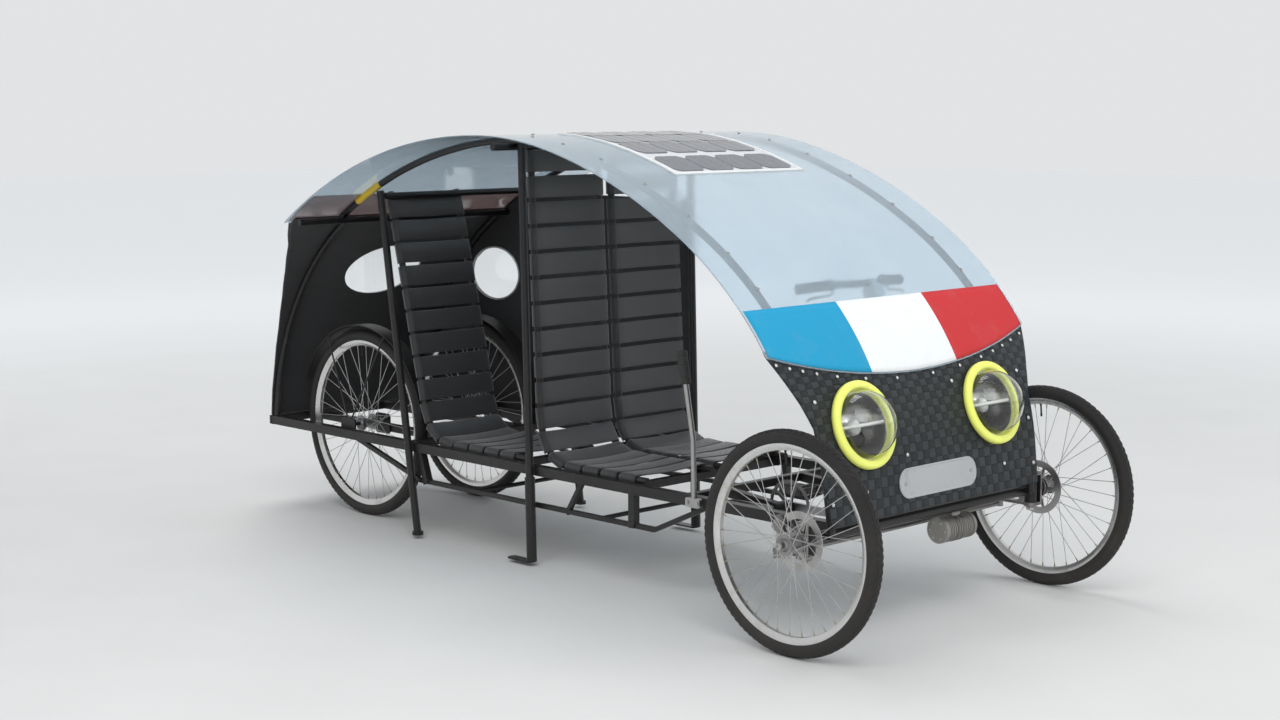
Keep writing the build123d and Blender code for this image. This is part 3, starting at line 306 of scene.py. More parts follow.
planting, given, put = geometry_tree("planting", Shape="Object", Finish="Material")
facing, heading, stretch = (
    node(planting, "GeometryNodeInputNamedAttribute", {"Name": label}, data_type="FLOAT_VECTOR").outputs[0]
    for label in ("facing", "heading", "stretch"))
turn = node(planting, "FunctionNodeAxesToRotation", {0: facing, 1: heading}).outputs[0]
shape_in = node(planting, "GeometryNodeObjectInfo", {"Object": given["Shape"]}).outputs["Geometry"]
points = node(planting, "GeometryNodeMeshToPoints", {"Mesh": given["Geometry"]}).outputs[0]
copies = node(planting, "GeometryNodeInstanceOnPoints",
              {"Points": points, "Instance": shape_in, "Rotation": turn, "Scale": stretch})
finished(planting, given, put, copies.outputs[0])


def grown(name, carrier_mesh, tree, body, smooth=True, **values):
    """Runs a geometry tree on a carrier mesh and keeps the result as one plain mesh on its body."""
    helpers = [stood(name + "_carrier", carrier_mesh)]
    modifier = helpers[0].modifiers.new("grow", "NODES")
    modifier.node_group = tree
    for item in tree.interface.items_tree:
        if item.in_out == "INPUT" and item.name in values:
            value = values[item.name]
            if isinstance(value, bpy.types.Mesh):
                value = stood(name + "_shape", value)
                helpers.append(value)
            modifier[item.identifier] = value
    graph = bpy.context.evaluated_depsgraph_get()
    mesh = bpy.data.meshes.new_from_object(helpers[0].evaluated_get(graph), depsgraph=graph)
    mesh.name = name
    for helper in helpers:
        bpy.data.objects.remove(helper)
    return mesh_object(name, mesh, None, body, smooth)


def planted(name, shape, spots, material, body, size=(1, 1, 1), heading=(0, 1, 0), smooth=True):
    """One mesh of copies of a shape on spots of (place, facing), each with its own heading and size if they follow."""
    spots = [(*spot, *(heading, size)[len(spot) - 2:]) for spot in spots]
    carrier_mesh = pointed(name + "_spots", [spot[0] for spot in spots])
    for column, label in ((1, "facing"), (2, "heading"), (3, "stretch")):
        layer = carrier_mesh.attributes.new(label, "FLOAT_VECTOR", "POINT")
        for k, spot in enumerate(spots):
            layer.data[k].vector = spot[column]
    return grown(name, carrier_mesh, planting, body, smooth, Shape=shape, Finish=material)


zinc = weathered("zinc_plate", (0.55, 0.55, 0.53), (0.25, 0.23, 0.20), 0.28, 0.6, scuffs=0.5, dust=0.3, Metallic=1.0)
nut_profile = [(0, 0.0), (0, 1.0), (0.9, 1.0), (1.0, 0.88), (1.0, 0.45), (0.7, 0.40), (0.7, 0.0)]
hex_nut = turned(nut_profile, 6, "hex_nut", False)
dome_nut = turned([(0, 0.0), (0, 1.0), (0.25, 1.0), (0.3, 0.8), (0.75, 0.62), (1.0, 0.0)], 12, "dome_nut", False)
front_axle_x, front_axle_z = 1.190, 0.300
rear_axle_x, rear_axle_z = -1.060, 0.325

kingpin_y, kingpin_top_z, kingpin_foot_z, axle_end_y = 0.500, 0.3552, 0.2448, 0.6165
axle_nut = (0.0105, 0.0105, 0.0075)
kingpin_nut = (0.0125, 0.0125, 0.008)
fore_way = (1, 0, 0)
for side, body in ((1, "knuckle_left"), (-1, "knuckle_right")):
    planted(f"{body}_nuts", hex_nut, [
        ((front_axle_x, side * kingpin_y, kingpin_top_z), (0, 0, 1), fore_way, kingpin_nut),
        ((front_axle_x, side * kingpin_y, kingpin_foot_z), (0, 0, -1), fore_way, kingpin_nut),
        ((front_axle_x, side * axle_end_y, front_axle_z), (0, side, 0), fore_way, axle_nut),
    ], zinc, body, smooth=False)


# Tyres: black road tyres, scuffed and dusty, with four rows of low tread blocks.
# Each is one turned casing; the blocks are planted round it, and the rows on one side are half a step on.
def axle_seat(x, y, z):
    """Lays a shape turned round Z on its side, axis along Y, at a place."""
    return Matrix.Translation((x, y, z)) @ Matrix.Rotation(-pi / 2, 4, "X")


def arc(along, middle_r, reach, angles, rise=None):
    """Profile points on an arc about (along, middle_r), by angles in degrees off the radial way."""
    return [(along + reach * sin(radians(a)), middle_r + (rise or reach) * cos(radians(a))) for a in angles]


tyre_width = 0.044
casing_r = 0.0205
tread_rows = (
    # lean off the crown in degrees, blocks round the tyre, length, width, height in metres
    (-34.0, 96, 0.010, 0.006, 0.0011),
    (-13.0, 84, 0.014, 0.007, 0.0009),
    (13.0, 84, 0.014, 0.007, 0.0009),
    (34.0, 96, 0.010, 0.006, 0.0011),
)
tyre_rubber = weathered("tyre_rubber", (0.009, 0.009, 0.010), (0.042, 0.040, 0.037), 0.58, 0.8, scuff_scale=90.0,
                        scuffs=0.4, grain_scale=1500.0, dust=0.16, grain_depth=0.0002, Specular_IOR_Level=0.35)
tread_block = bmesh.new()
bmesh.ops.create_cube(tread_block, size=1.0)
top_edges = [edge for edge in tread_block.edges if all(v.co.z > 0.4 for v in edge.verts)]
bmesh.ops.bevel(tread_block, geom=top_edges, offset=0.12, segments=1, affect="EDGES")
block_mesh = taken(tread_block, "tread_block")

corners = (
    # name, tyre radius, axle place, distance left of the middle
    ("front_left", front_axle_z, front_axle_x, 0.573),
    ("front_right", front_axle_z, front_axle_x, -0.573),
    ("rear_left", rear_axle_z, rear_axle_x, 0.243),
    ("rear_right", rear_axle_z, rear_axle_x, -0.243),
)
for name, tyre_r, x, y in corners:
    middle_r = tyre_r - casing_r - 0.0010
    profile = arc(0.0, middle_r, tyre_width / 2, range(-138, 139, 12), casing_r)
    profile += [(0.0103, tyre_r - 0.0368), (-0.0103, tyre_r - 0.0368)]
    casing = turned(profile, 144, seat=axle_seat(x, y, tyre_r))
    tyre = mesh_object(f"tyre_{name}_casing", casing, tyre_rubber, f"wheel_{name}")
    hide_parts(f"tyre_{name}")
    spots = []
    for lean, count, length, width, height in tread_rows:
        for k in range(count):
            turn = tau * (k + (0.5 if lean > 0 else 0.0)) / count
            radial = Vector((sin(turn), 0, cos(turn)))
            along = Vector((cos(turn), 0, -sin(turn)))
            out = (radial * cos(radians(lean)) + Vector((0, sin(radians(lean)), 0))).normalized()
            spot = Vector((x, y, tyre_r)) + radial * (middle_r + casing_r * cos(radians(lean)))
            spot.y += tyre_width / 2 * sin(radians(lean))
            spots.append((spot, out, along, (length, width, height * 2)))
    tread = planted(f"tyre_{name}_tread", block_mesh, spots, tyre_rubber, f"wheel_{name}", smooth=False)

# Wheels: polished alloy rims laced with thirty-six crossed spokes to small hubs, as on a bicycle.
# Spokes are tubes grown on lines between flange and rim, with a brass nipple at every rim hole.
lacing, given, put = geometry_tree("lacing", Radius="Float", Sides="Int", Finish="Material")
lines = node(lacing, "GeometryNodeMeshToCurve", {"Mesh": given["Geometry"]}).outputs[0]
ring = node(lacing, "GeometryNodeCurvePrimitiveCircle", {"Resolution": given["Sides"], "Radius": given["Radius"]},
            mode="RADIUS").outputs[0]
wires = node(lacing, "GeometryNodeCurveToMesh", {"Curve": lines, "Profile Curve": ring, "Fill Caps": True})
finished(lacing, given, put, wires.outputs[0])


def laced(name, lines, radius, sides, material, body):
    """Round wires along straight or bent lines of points, as one mesh on one body."""
    points, edges = [], []
    for line in lines:
        edges += [(len(points) + k, len(points) + k + 1) for k in range(len(line) - 1)]
        points += [tuple(p) for p in line]
    carrier = pointed(name + "_lines", points, edges)
    return grown(name, carrier, lacing, body, Radius=radius, Sides=sides, Finish=material)


def both_ways(half):
    """A profile from its one half, mirrored along the axis."""
    return [(-along, r) for along, r in half] + [(along, r) for along, r in half[::-1]]


rim_alloy = weathered("polished_rim", (0.74, 0.74, 0.73), (0.42, 0.40, 0.37), 0.20, 0.5, scuff_scale=60.0, scuffs=0.5,
                      grain_scale=900.0, dust=0.35, grain_depth=0.00005, Metallic=1.0)
spoke_steel = weathered("spoke_steel", (0.62, 0.62, 0.62), (0.3, 0.28, 0.26), 0.25, 0.5, dust=0.3, Metallic=1.0)
nipple_brass = weathered("plated_nipple", (0.55, 0.50, 0.38), (0.3, 0.27, 0.2), 0.3, 0.6, Metallic=1.0)
hub_alloy = weathered(
    "hub_alloy", (0.34, 0.34, 0.35), (0.14, 0.13, 0.12), 0.34, 0.6, scuffs=0.5, dust=0.4, Metallic=1.0)
nipple = turned([(0, 0.0), (0, 1.0), (0.5, 1.0), (1.0, 0.7), (1.0, 0.0)], 6, "nipple", False)
valve = turned([(0, 0), (0, 0.0034), (0.004, 0.0034), (0.004, 0.0026), (0.026, 0.0026), (0.028, 0.0032),
                (0.036, 0.0032), (0.038, 0.0)], 10, "valve", False)
spoke_count = 36
spoke_lean = 64.0
flange_r, flange_half = 0.0245, 0.025
rim_half = 0.0135
rim_drop = 0.019
rim_side = [(rim_half, 0.0048), (rim_half, -0.005), (rim_half - 0.003, -0.0105), (rim_half * 0.5, -0.0175)]
rim_lip = [(rim_half - 0.0018, 0.0048), (rim_half - 0.0018, 0.0)]
hub_half = [(0.036, 0.0062), (0.036, 0.0135), (0.031, 0.0165), (0.0275, 0.018), (0.0267, 0.028), (0.0233, 0.028),
            (0.0225, 0.0185), (0.014, 0.0150)]
for name, tyre_r, x, y in corners:
    seat_r = tyre_r - 0.0375
    body = f"wheel_{name}"
    seat = axle_seat(x, y, tyre_r)
    rim_profile = [(-w, h) for w, h in rim_side] + [(0, -rim_drop)] + rim_side[::-1] + rim_lip
    rim_profile += [(-w, h) for w, h in rim_lip[::-1]]
    rim_mesh = turned([(w, seat_r + h) for w, h in rim_profile], 144, seat=seat)
    rim = mesh_object(f"rim_{name}", rim_mesh, rim_alloy, body, sharp=40)
    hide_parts(f"wheel_{name}")
    lines, spots = [], []
    for k in range(spoke_count):
        turn = tau * k / spoke_count
        lean = radians(spoke_lean if k % 4 < 2 else -spoke_lean)
        flange = flange_half if k % 2 else -flange_half
        start = Vector((x + flange_r * cos(turn + lean), y + flange, tyre_r + flange_r * sin(turn + lean)))
        end_r = seat_r - rim_drop + 0.001
        end = Vector((x + end_r * cos(turn), y, tyre_r + end_r * sin(turn)))
        lines.append((start, end))
        spots.append((end, start - end))
    laced(f"spokes_{name}", lines, 0.0011, 6, spoke_steel, body)
    planted(f"nipples_{name}", nipple, spots, nipple_brass, body, (0.0021, 0.0021, 0.012))
    mesh_object(f"hub_{name}", turned(both_ways(hub_half), 48, seat=seat), hub_alloy, body, sharp=35)
    turn = tau * 9.5 / spoke_count
    outwards = Vector((cos(turn), 0, sin(turn)))
    valve_foot = Vector((x, y, tyre_r)) + outwards * (seat_r - rim_drop)
    planted(f"valve_{name}", valve, [(valve_foot, -outwards)], tyre_rubber, body)


# Welds: a rippled bead laid round every joint of the chassis and painted over with it.
# Beads follow the outline of the tube that ends there: square on the bars and struts, round on the beam.
def square_bead(centre, half_a, half_b, way_a, way_b):
    """Closed outline of a rectangle, its corners a little rounded."""
    centre, way_a, way_b = Vector(centre), Vector(way_a), Vector(way_b)
    in_a, in_b = half_a - 0.003, half_b - 0.003
    turns = ((half_a, in_b), (in_a, half_b), (-in_a, half_b), (-half_a, in_b), (-half_a, -in_b), (-in_a, -half_b),
             (in_a, -half_b), (half_a, -in_b), (half_a, in_b))
    return [centre + way_a * a + way_b * b for a, b in turns]


def oval(x, z, wide, high, steps, closed=False):
    """Points (x, z) round an oval in side view."""
    return [(x + wide * cos(tau * k / steps), z + high * sin(tau * k / steps)) for k in range(steps + closed)]


rail_y, rail_z = 0.340, 0.300
rail_inner_y, beam_end_y, pillar_foot_y = 0.3244, 0.4815, 0.3557
upper_seam_z, lower_seam_z = 0.2845, 0.1972
bar_z, low_bar_z, bar_half = 0.300, 0.2962, 0.0125
rail_ends, rail_half, beam_r = (1.1735, -1.4796), 0.015, 0.0163
foot_seam_heights = (0.286, 0.2955, 0.305, 0.3145)
weld_black = weathered("painted_weld", (0.008, 0.008, 0.009), (0.07, 0.06, 0.05), 0.42, 0.7, scuff_scale=220.0,
                       scuffs=0.5, grain_scale=260.0, grain_depth=0.0009, dust=0.15)
joined_bars = (
    # place of the bar, its height
    (-0.708, bar_z), (-0.485, low_bar_z), (-0.200, low_bar_z), (0.170, low_bar_z), (0.340, low_bar_z), (0.580, bar_z),
    (1.115, bar_z),
)
joined_struts = (
    # place of the strut at the upper rail, at the lower rail, half width
    (-0.644, -0.604, 0.012), (0.148, 0.086, 0.007), (0.370, 0.370, 0.012),
)
leaning_legs = (
    # place of the leg on the ground, its lean backwards for its height
    (-0.623, 0.154), (-0.055, 0.0275),
)
beads = []
for side in (1, -1):
    for x, z in joined_bars:
        beads.append(square_bead((x, side * rail_inner_y, z), bar_half, bar_half, (1, 0, 0), (0, 0, 1)))
    for x_up, x_low, half in joined_struts:
        for x, z in ((x_up, upper_seam_z), (x_low, lower_seam_z)):
            beads.append(square_bead((x, side * rail_y, z), half * 1.04, half, (1, 0, 0), (0, 1, 0)))
    for x in rail_ends:
        beads.append(square_bead((x, side * rail_y, rail_z), rail_half, rail_half, (0, 1, 0), (0, 0, 1)))
    beads.append([(x, side * beam_end_y, z) for x, z in oval(front_axle_x, rail_z, beam_r, beam_r, 24, True)])
    for foot_x, lean in leaning_legs:
        for edge in (-0.0065, 0.0065):
            beads.append([(foot_x - lean * z + edge, side * pillar_foot_y, z) for z in foot_seam_heights])
laced("weld_beads", beads, 0.0026, 6, weld_black, "frame")
nuts = [((rear_axle_x, side * y, rear_axle_z), (0, side * face, 0))
        for side in (1, -1) for y, face in ((0.1765, 1), (0.3186, -1))]
planted("rear_axle_nuts", hex_nut, nuts, zinc, "frame", axle_nut, fore_way, smooth=False)

# Brakes, knuckles and rod: laser-cut steel discs, and knuckles of plate and bar left bright and greased.
# The disc faces show the round scratches of the pads.
disc_steel, shader, place = textured("brake_steel", Metallic=1.0)
shift = node(place, "ShaderNodeVectorMath", {0: place, 1: (front_axle_x, 0.0, front_axle_z)}, operation="SUBTRACT")
flat = node(place, "ShaderNodeVectorMath", {0: shift.outputs[0], 1: (1, 0, 1)}, operation="MULTIPLY")
from_axle = node(place, "ShaderNodeVectorMath", {0: flat.outputs[0]}, operation="LENGTH").outputs["Value"]
lines_round = node(place, "ShaderNodeTexNoise", {"W": from_axle, "Scale": 1400.0, "Detail": 3.0},
                   noise_dimensions="1D").outputs["Fac"]
feed(shader, Base_Color=mixed(lines_round, (0.34, 0.33, 0.32), (0.62, 0.61, 0.60)),
     Roughness=ranged(lines_round, low=0.20, high=0.42))
clad(disc_steel, "brake_disc_left", "brake_disc_right")
greased_steel = weathered("greased_steel", (0.28, 0.275, 0.27), (0.10, 0.08, 0.06), 0.30, 0.65, scuff_scale=70.0,
                          scuffs=0.7, dust=0.5, Metallic=1.0)
clad(greased_steel, "knuckle_left", "knuckle_right", "tie_rod")


# Cranks: forged alloy arms on a steel spindle, a toothed ring on the inner side, and moulded black pedals.
# Arms and spiders are cut from the flat with rounded ends; teeth are planted round the ring.
def cut_from_flat(outline, middle_y, thickness, name, holes=()):
    """Closed plate from an outline in side view, its middle this far left of the middle of the vehicle."""
    flat = bmesh.new()
    loops = []
    for line in (outline, *holes):
        verts = [flat.verts.new((x, middle_y - thickness / 2, z)) for x, z in line]
        loops += [flat.edges.new((verts[k], verts[(k + 1) % len(verts)])) for k in range(len(verts))]
    bmesh.ops.triangle_fill(flat, edges=loops, use_beauty=True)
    far_side = bmesh.ops.extrude_face_region(flat, geom=flat.faces[:])["geom"]
    bmesh.ops.translate(flat, vec=(0, thickness, 0), verts=[v for v in far_side if isinstance(v, bmesh.types.BMVert)])
    bmesh.ops.recalc_face_normals(flat, faces=flat.faces)
    return taken(flat, name)


def block(size, spot, segments):
    """A box with softened edges."""
    made = bmesh.new()
    bmesh.ops.create_cube(made, size=1.0)
    bmesh.ops.scale(made, vec=size, verts=made.verts)
    bmesh.ops.bevel(made, geom=made.edges[:], offset=0.002, segments=segments, affect="EDGES")
    bmesh.ops.translate(made, vec=spot, verts=made.verts)
    return taken(made, "block")


def joined(name, meshes, material, body):
    """Several meshes as one piece."""
    whole = bmesh.new()
    for mesh in meshes:
        whole.from_mesh(mesh)
        bpy.data.meshes.remove(mesh)
    return mesh_object(name, taken(whole, name), material, body, sharp=32)


crank_alloy = weathered("crank_alloy", (0.30, 0.30, 0.31), (0.13, 0.12, 0.11), 0.3, 0.55, scuffs=0.6, dust=0.3,
                        Metallic=1.0)
pedal_plastic = weathered(
    "pedal_plastic", (0.010, 0.010, 0.011), (0.06, 0.057, 0.052), 0.5, 0.75, scuffs=0.6, dust=0.35)
crank_x, crank_z = 0.800, 0.280
crank_reach, ring_radius = 0.150, 0.078
eye_r, boss_r, tooth_r = 0.0105, 0.0135, 0.0748
tooth = pointed("tooth", [(-0.5, -0.5, -0.3), (0.5, -0.5, -0.3), (0.5, 0.5, -0.3), (-0.5, 0.5, -0.3), (-0.2, -0.35, 1),
                          (0.2, -0.35, 1), (0.2, 0.35, 1), (-0.2, 0.35, 1)], (),
                [(3, 2, 1, 0), (4, 5, 6, 7), (0, 1, 5, 4), (1, 2, 6, 5), (2, 3, 7, 6), (3, 0, 4, 7)])
pedal_slabs = (
    # place along, place outwards, half length, half width
    (-0.036, 0, 0.006, 0.039), (0.036, 0, 0.006, 0.039), (0, -0.036, 0.042, 0.004), (0, 0.036, 0.042, 0.004),
    (0, 0, 0.011, 0.039),
)
for side, word in ((1, "left"), (-1, "right")):
    middle_y = side * 0.170
    shapes = []
    for way in (1, -1):
        arm = []
        for k in range(32):
            turn = tau * k / 32
            reach, end_r = (0.0, boss_r) if cos(turn) < 0 else (crank_reach, eye_r)
            arm.append((crank_x + way * (reach + end_r * cos(turn)), crank_z + end_r * sin(turn)))
        shapes.append(cut_from_flat(arm, middle_y + way * 0.042, 0.011, "arm"))
    shapes.append(turned(both_ways([(0.048, 0), (0.048, 0.0078)]), 24, "spindle", False,
                         axle_seat(crank_x, middle_y, crank_z)))
    ring_y = middle_y - side * 0.038
    outer, inner = (oval(crank_x, crank_z, ring_radius - depth, ring_radius - depth, 96) for depth in (0.003, 0.013))
    shapes.append(cut_from_flat(outer, ring_y, 0.002, "ring", (inner,)))
    spider = []
    for k in range(5):
        for bend, reach in ((-0.36, 0.017), (-0.07, 0.068), (0.07, 0.068), (0.36, 0.017)):
            turn = tau * k / 5 + bend
            spider.append((crank_x + reach * cos(turn), crank_z + reach * sin(turn)))
    shapes.append(cut_from_flat(spider, ring_y, 0.0024, "spider"))
    crankset = joined(f"crankset_{word}_alloy", shapes, crank_alloy, f"crank_{word}")
    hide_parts(f"crankset_{word}")
    teeth = []
    for x, z in oval(0.0, 0.0, 1.0, 1.0, 44):
        teeth.append(((crank_x + tooth_r * x, ring_y, crank_z + tooth_r * z), (x, 0, z), (-z, 0, x)))
    planted(f"crankset_{word}_teeth", tooth, teeth, crank_alloy, f"crank_{word}", (0.0062, 0.0018, 0.0032),
            smooth=False)
    pedals = []
    for way in (1, -1):
        x, y = crank_x + way * crank_reach, middle_y + way * 0.094
        for along, outwards, half_x, half_y in pedal_slabs:
            pedals.append(block((2 * half_x, 2 * half_y, 0.021), (x + along, y + outwards, crank_z), 1))
        seat = Matrix.Translation((x, middle_y + way * 0.0475, crank_z)) @ Matrix.Rotation(-way * pi / 2, 4, "X")
        pedals.append(turned([(0, 0), (0, 0.0058), (0.060, 0.0058), (0.060, 0)], 16, "pedal_pin", False, seat))
    pedal_piece = joined(f"crankset_{word}_pedals", pedals, pedal_plastic, f"crank_{word}")


# Motor: a cast alloy drum with turned cooling ribs, clamped under the front beam by a saddle and two bands.
# Both end caps are held by screws; the casting is bare and greyed by salt and spray.
def ribbed(start, pitch, count, rib):
    """Profile points of one rib, repeated along the axis."""
    return [(start + k * pitch + along, r) for k in range(count) for along, r in rib]


motor_grey = weathered("motor_grey", (0.33, 0.32, 0.30), (0.20, 0.19, 0.17), 0.42, 0.65, scuff_scale=30.0, scuffs=0.6,
                       dust=0.35, grain_scale=500.0, grain_depth=0.0003, Metallic=0.75)
motor_x, motor_z = 1.182, 0.238
groove_r, rib_r, cap_r = 0.0345, 0.0376, 0.0378
motor_profile = [(0.0, 0.0), (0.0, 0.012), (-0.0008, 0.012), (-0.0008, 0.030), (0.0, 0.031), (0.0, 0.0355),
                 (0.0025, cap_r), (0.014, cap_r)]
motor_profile += ribbed(0.0175, 0.0081, 13, ((-0.0035, groove_r), (0.0, groove_r), (0.0, rib_r), (0.0046, rib_r),
                                             (0.0046, groove_r)))
motor_profile += [(0.126, groove_r), (0.126, cap_r), (0.1375, cap_r), (0.140, 0.0355), (0.140, 0.0)]
drum = turned(motor_profile, 64, "motor_drum", False, axle_seat(motor_x, 0.060, motor_z))
saddle = block((0.026, 0.040, 0.019), (motor_x, 0.130, 0.2742), 2)
motor_piece = joined("motor_drum", [drum, saddle], motor_grey, "frame")
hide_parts("motor")
caps = [((x, y, z), (0, face, 0))
        for y, face in ((0.0592, -1), (0.200, 1)) for x, z in oval(motor_x, motor_z, 0.026, 0.026, 6)]
planted("motor_cap_screws", dome_nut, caps, zinc, "frame", (0.0038, 0.0038, 0.0025), fore_way)
for y in (0.117, 0.143):
    band = turned(both_ways([(0.0045, 0.0379), (0.0045, 0.0389)]), 64, seat=axle_seat(motor_x, y, motor_z))
    mesh_object(f"motor_band_{round(y * 1000)}", band, greased_steel, "frame")


# Canopy: one sheet of clear polycarbonate bent lengthwise over the tubes, from the tail to the nose.
# Its side line is a chain of touching arcs, and its front edge is cut to a shallow smile.
roof_top = (-0.060, 1.336)
rear_rib_y = 0.3677
steepest = 82.0
nose_arcs = ((1.300, 13.5), (1.800, 32.5), (1.150, 48.0), (0.800, steepest))
tail_arcs = ((1.817, 33.4), (0.946, 87.0))
sheet_half_width = 0.570
sheet_thickness = 0.003
sheet_front_slope = 63.1
sheet_rear_slope = 33.4
smile_rise = 0.081


def roof_point(side, inset, slope):
    """(x, z) of the roof line at a slope in degrees, this far inside it; side -1 is the tail."""
    x, z, start = 0.0, roof_top[1], 0.0
    for radius, end in (nose_arcs if side > 0 else tail_arcs):
        centre = x - radius * sin(radians(start)), z - radius * cos(radians(start))
        if slope <= end:
            reach = radius - inset
            angle = radians(slope)
            return roof_top[0] + side * (centre[0] + reach * sin(angle)), centre[1] + reach * cos(angle)
        x, z = centre[0] + radius * sin(radians(end)), centre[1] + radius * cos(radians(end))
        start = end
    drop = (slope - end) * 0.02
    lean = radians(end)
    return (roof_top[0] + side * (x - inset * sin(lean) + drop * cos(lean)), z - inset * cos(lean) - drop * sin(lean))


def slope_at_height(side, height):
    """Slope at which the roof line comes down to a height, by halving."""
    low, high = 0.0, 120.0
    for _ in range(40):
        middle = (low + high) / 2
        low, high = (middle, high) if roof_point(side, 0.0, middle)[1] > height else (low, middle)
    return low


def roof_spot(side, y, inset, slope):
    """A spot on the roof line for a planted shape that faces out of it."""
    x, z = roof_point(side, inset, slope)
    lean = radians(min(slope, steepest))
    return (x, y, z), (side * sin(lean), 0, cos(lean))


def walled(sheet, thickness, name):
    """Closed mesh of an open sheet; its thickness goes inwards."""
    carrier = stood(name + "_carrier", sheet)
    wall = carrier.modifiers.new("wall", "SOLIDIFY")
    wall.thickness, wall.offset = thickness, -1.0
    graph = bpy.context.evaluated_depsgraph_get()
    closed = bpy.data.meshes.new_from_object(carrier.evaluated_get(graph))
    bpy.data.objects.remove(carrier)
    closed.name = name
    return closed


def sheet_mesh(rows, thickness, name):
    """Closed mesh of a bent sheet from rows of points on its outer face."""
    outer = bmesh.new()
    grid = [[outer.verts.new(p) for p in row] for row in rows]
    for a, b in zip(grid, grid[1:]):
        for k in range(len(a) - 1):
            outer.faces.new((a[k], a[k + 1], b[k + 1], b[k]))
    return walled(taken(outer, name), thickness, name)


def smile_height(y, lowest):
    """Height of a front edge cut to an arc that rises towards both sides."""
    radius = (sheet_half_width ** 2 + smile_rise ** 2) / (2 * smile_rise)
    return lowest + radius - (radius ** 2 - y ** 2) ** 0.5


def even(low, high, count):
    """Even steps from low to high."""
    return [low + (high - low) * k / count for k in range(count + 1)]


edge_lowest = roof_point(1, 0.0, sheet_front_slope)[1]
across = even(-sheet_half_width, sheet_half_width, 40)


def roof_row(slope_of, inset=0.0, ys=across):
    """One row of sheet points across the vehicle; slope_of gives a signed slope, negative on the tail."""
    row = []
    for y in ys:
        slope = slope_of(y)
        x, z = roof_point(1 if slope >= 0 else -1, inset, abs(slope))
        row.append((x, y, z))
    return row


edge_slopes = {y: slope_at_height(1, smile_height(y, edge_lowest)) for y in across}
rows = [roof_row(lambda y: -sheet_rear_slope + (edge_slopes[y] + sheet_rear_slope) * share) for share in even(0, 1, 90)]
clear_sheet, shader, place = textured("clear_polycarbonate", IOR=1.45, Transmission_Weight=0.76)
haze = noise(place, 3.0, 6.0, 0.7)
scratch_map = node(place, "ShaderNodeMapping", {"Vector": place, "Scale": (3.0, 90.0, 3.0), "Rotation": (0, 0, 0.15)})
scratches = noise(scratch_map.outputs[0], 9.0, 8.0)
feed(shader, Roughness=ranged(haze, 0.35, 0.75, 0.02, 0.13),
     Base_Color=mixed(haze, (0.75, 0.86, 0.93), (0.60, 0.73, 0.82)), Normal=bumped(scratches, 0.00006, 0.3))
canopy = mesh_object("canopy", sheet_mesh(rows[::-1], sheet_thickness, "canopy"), clear_sheet, "frame", sharp=40)
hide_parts("canopy_sheet")
screw_line = (
    # sideways place, signed slopes where a screw goes through the sheet into the rib below
    (rear_rib_y, (-30.0, -25.0, -20.0, -15.0, -10.0, -5.0, 1.0)),
    (0.450, (5.0, 11.0, 17.0, 23.0, 29.0, 36.0, 43.0)),
)
spots = [roof_spot(1 if slope > 0 else -1, side * y, 0.0, abs(slope))
         for y, slopes in screw_line for slope in slopes for side in (1, -1)]
planted("canopy_screws", dome_nut, spots, zinc, "frame", (0.0062, 0.0062, 0.0034))

# Banner: a strip of printed film on the sheet above its front edge, in three plain fields, bare of words.
# It ends in a straight top edge and follows the smile below, a little way in from the sides.
film_lift, film_thickness = 0.0011, 0.0009
banner_half_width = 0.562
banner_top_slope = 46.5
field_edge, field_span = 0.19, 1.14
ys = even(-banner_half_width, banner_half_width, 60)
banner_ends = {y: slope_at_height(1, smile_height(y, edge_lowest + 0.004)) for y in ys}
rows = [roof_row(lambda y: banner_top_slope + (banner_ends[y] - banner_top_slope) * share, -film_lift, ys)
        for share in even(0, 1, 14)]
banner_film, shader, place = textured("banner_film", Specular_IOR_Level=0.12)
fields = ranged(upright(place, "Y"), -field_span / 2, field_span / 2)
ramp_node = node(place, "ShaderNodeValToRGB", {0: fields})
ramp = ramp_node.color_ramp
ramp.interpolation = "CONSTANT"
ramp.elements[0].color = (0.022, 0.33, 0.56, 1)
ramp.elements[1].position = 0.5 - field_edge / field_span
ramp.elements[1].color = (0.86, 0.87, 0.87, 1)
ramp.elements.new(0.5 + field_edge / field_span).color = (0.58, 0.040, 0.045, 1)
fade = noise(place, 11.0, 7.0, 0.7)
grime = ranged(fade, 0.52, 0.85, 0.0, 0.14)
ripple = noise(place, 16.0, 2.0)
feed(shader, Base_Color=mixed(grime, ramp_node.outputs["Color"], (0.42, 0.41, 0.38)),
     Roughness=ranged(fade, low=0.42, high=0.6), Normal=bumped(ripple, 0.002, 0.25))
banner = mesh_object("banner", sheet_mesh(rows[::-1], film_thickness, "banner"), banner_film, "frame")
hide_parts("sheet_bands")

# Rear band: a strip of dull red-brown film on the rear edge of the sheet, crazed and lifting in the sun.
# It lets some light through, and small brass studs hold its rear edge.
band_slopes = even(27.6, 33.2, 6)
rows = [roof_row(lambda y: -slope, -film_lift, ys) for slope in band_slopes]
aged_film = weathered("aged_brown_film", (0.58, 0.30, 0.235), (0.72, 0.57, 0.49), 0.5, 0.7, scuff_scale=25.0,
                      scuffs=0.8, grain_scale=120.0, dust=0.0, grain_depth=0.0006, Transmission_Weight=0.85)
mesh_object("rear_band", sheet_mesh(rows, film_thickness, "rear_band"), aged_film, "frame")
stud_brass = weathered("dull_brass", (0.33, 0.26, 0.12), (0.14, 0.11, 0.07), 0.4, 0.65, scuffs=0.5, Metallic=1.0)
studs = [roof_spot(-1, y, -film_lift, band_slopes[-1] - 0.35) for y in even(-0.54, 0.54, 22)]
planted("rear_band_studs", dome_nut, studs, stud_brass, "frame", (0.004, 0.004, 0.0022))

